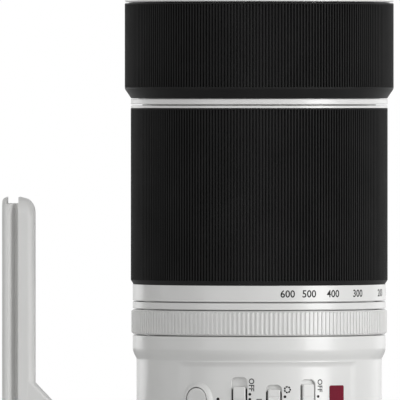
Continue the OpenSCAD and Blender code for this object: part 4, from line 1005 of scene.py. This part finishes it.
def prints():
    """Focal lengths on the zoom ring, the index line, and plain marks beside the switches."""
    ink = FINISHES["print_ink"]
    scale_r = span("index_ring")[2]
    z_scale = span("zoom_ring")[0] + 3.0 * MM
    for length, angle in FOCAL_LENGTHS.items():
        number = lettering(f"focal_{length}", str(length), 2.75 * MM, wrap(angle, z_scale), scale_r)
        dress(number, "zoom_ring", "black_plastic", finish=ink)
    z0, z1, _ = span("index_ring")
    line = block("index_line", wrap(90, (z0 + z1) / 2), (0.5 * MM, 1.7 * MM), 0.1 * MM,
                 [(scale_r - PRINT_T, 0.0), (scale_r + PRINT_T, 0.0)])
    dress(line, "barrel", "black_plastic", finish=ink)

    def dot(name, angle, z, radius):
        made = spin(name, seat(angle, z), [(radius, PANEL_R - PRINT_SINK), (radius, PANEL_R + PRINT_T)], 24)
        dress(made, "barrel", "black_plastic", finish=ink)

    def word(name, text, angle, z):
        upright = wrap(angle, z)
        made = lettering(name, text, 2.0 * MM, lambda x, y, out: upright(y, -x, out), PANEL_R)
        dress(made, "barrel", "black_plastic", finish=ink)

    dot_r = 0.52 * MM
    for k in (-1, 0, 1):
        dot(f"selector_dot_{k + 2}", -4.4, Z_ROW + k * STEP, dot_r)
    for name, angle in (("mode_dot", 12.2), ("limiter_dot", 29.0)):
        for k in (-0.5, 0.5):
            dot(f"{name}_{1 if k < 0 else 2}", angle, Z_ROW + k * STEP, dot_r)
    dot("set_dot", -19.8, Z_ROW, 0.6 * MM)
    word("selector_off", "OFF", -3.6, Z_ROW + 5.3 * MM)
    word("selector_1", "1", 0.0, Z_ROW)
    word("selector_2", "2", -3.6, Z_ROW - 4.2 * MM)
    word("limiter_off", "OFF", 30.0, Z_ROW + 4.9 * MM)
    word("limiter_on", "ON", 30.0, Z_ROW - 4.6 * MM)

    dashes, mark_r = 7, 1.05 * MM
    upright = seat(13.4, Z_ROW + 3.5 * MM)
    for k, (cos, sin) in enumerate(arms(dashes)):

        def around(u, v, out, cos=cos, sin=sin):
            u += mark_r
            return upright(u * cos - v * sin, u * sin + v * cos, out)

        dash = block(f"iris_mark_{k + 1}", around, (0.58 * MM, 0.74 * MM), 0.05 * MM,
                     [(PANEL_R - PRINT_SINK, 0.0), (PANEL_R + PRINT_T, 0.0)])
        dress(dash, "barrel", "black_plastic", finish=ink)


def red_plate():
    """A bare red plate let into the panel beside the switches, with inner loops that bend with the panel."""
    size = (6.7 * MM, 14.0 * MM)
    edge, face = PANEL_R + 0.16 * MM, PANEL_R + 0.22 * MM
    levels = [(PANEL_R - 0.2 * MM, 0.0), (edge, 0.0)]
    levels += [(face, -inset * MM) for inset in (0.06, 0.25, 0.49)]
    made = block("red_plate", wrap(39.6, Z_ROW - 2.1 * MM), size, 0.6 * MM, levels)
    dress(made, "barrel", "black_plastic", finish=FINISHES["red_plate"])


hood_ring()
front_shell()
focus_rings()
zoom_rings()
aperture_ring()
control_shell()
switches()
buttons()
collar()
foot()
lock_knob()
rear_shell()
mount_screws()
mount_dot()
prints()
red_plate()


def aimed(made, place, aim):
    """Sets a camera or a lamp down at a place and turns it towards what it looks at."""
    made.location = place
    made.rotation_euler = (aim - place).to_track_quat("-Z", "Y").to_euler()


def camera():
    """A long lens at the photograph's angle, whose picture is frame_w wide at the optical axis."""
    frame_w = 0.1473
    place = Vector((0.0, -5.0, 0.2535))
    aim = Vector((-0.0218, 0.0, 0.2112))
    made = placed("camera", bpy.data.cameras.new("camera"))
    aimed(made, place, aim)
    made.data.sensor_width = 36.0
    made.data.lens = made.data.sensor_width * (aim - place).length / frame_w
    made.data.clip_end = 60.0
    scene.camera = made


LAMP_AIM = Vector((0.0, 0.0, 0.2))
LAMP_HEIGHT, LAMP_DISTANCE, LAMP_TALL = 0.45, 1.2, 1.4
LAMPS = {
    "key": (55, 0.6, 9.7),
    "fill": (-40, 0.5, 1.6),
    "rim_left": (-140, 0.5, 1.5),
    "rim_right": (140, 0.5, 1.0),
}


def softboxes():
    """Upright area lamps round the lens; each has a panel angle, a width and a power in watts."""
    for name, (angle, width, watts) in LAMPS.items():
        lamp = bpy.data.lights.new(name, "AREA")
        lamp.shape = "RECTANGLE"
        lamp.size, lamp.size_y = width, LAMP_TALL
        lamp.energy = watts
        aimed(placed(name, lamp), polar(LAMP_DISTANCE, angle, LAMP_HEIGHT), LAMP_AIM)


def surroundings():
    """White for the eye; mirrors see it dimmer overhead, and it lights the lens at a lower level."""
    f = Finish(bpy.data.worlds.new("studio"), "Generated")
    diffuse_level, zenith_level = 0.64, 0.5
    eye, glossy, through = [f.node("ShaderNodeLightPath", out=f"Is {kind} Ray")
                            for kind in ("Camera", "Glossy", "Transmission")]
    up = f.node("ShaderNodeSeparateXYZ", None, {0: f.place}, out="Z")
    sky = 1.0 - up.math("MAXIMUM", up, 0.0) * (1.0 - zenith_level)
    mirrored = glossy.math("MAXIMUM", glossy, through)
    unseen = sky * (diffuse_level + mirrored * (1.0 - diffuse_level))
    white = f.node("ShaderNodeBackground", None, {"Strength": eye + (1.0 - eye) * unseen, "Color": grey(1.0)})
    scene.world = f.close(white, "ShaderNodeOutputWorld")


def floor_paper():
    """Matt white paper; the eye sees it a little lighter than it is lit, and plain white further out."""
    f = new_finish("floor_paper")
    shadow_r, white_r = 0.30, 0.95
    fibre = f.noise(0.6 * MM, 4.0)
    eye = f.node("ShaderNodeLightPath", out="Is Camera Ray")
    radius = f.node("ShaderNodeVectorMath", {"operation": "LENGTH"}, {0: f.place}, out="Value")
    reach = {"Value": radius, "From Min": shadow_r, "From Max": white_r}
    away = f.node("ShaderNodeMapRange", {"interpolation_type": "SMOOTHSTEP"}, reach)
    paper = f.shader(
        Base_Color=f.mix(grey(0.78), grey(0.80), fibre),
        Roughness=0.85 + fibre * 0.1,
        Specular_IOR_Level=0.1,
        Emission_Color=f.mix(grey(0.0), grey(0.22), eye),
        Emission_Strength=1.0,
        Normal=f.bump(fibre, 0.01 * MM),
    )
    white = f.node("ShaderNodeEmission", None, {"Color": grey(1.0), "Strength": 1.0})
    return f.close(f.node("ShaderNodeMixShader", None, {0: eye * away, 1: paper, 2: white}))


def floor():
    """A round sheet of paper under the mount."""
    sheet = bmesh.new()
    bmesh.ops.create_circle(sheet, cap_ends=True, radius=4.0, segments=96)
    mesh = bpy.data.meshes.new("floor")
    sheet.to_mesh(mesh)
    sheet.free()
    mesh.materials.append(floor_paper())
    made = placed("floor", mesh)
    made.location.z = cad_box[0].z


camera()
surroundings()
floor()
softboxes()

scene.view_settings.view_transform = "Standard"
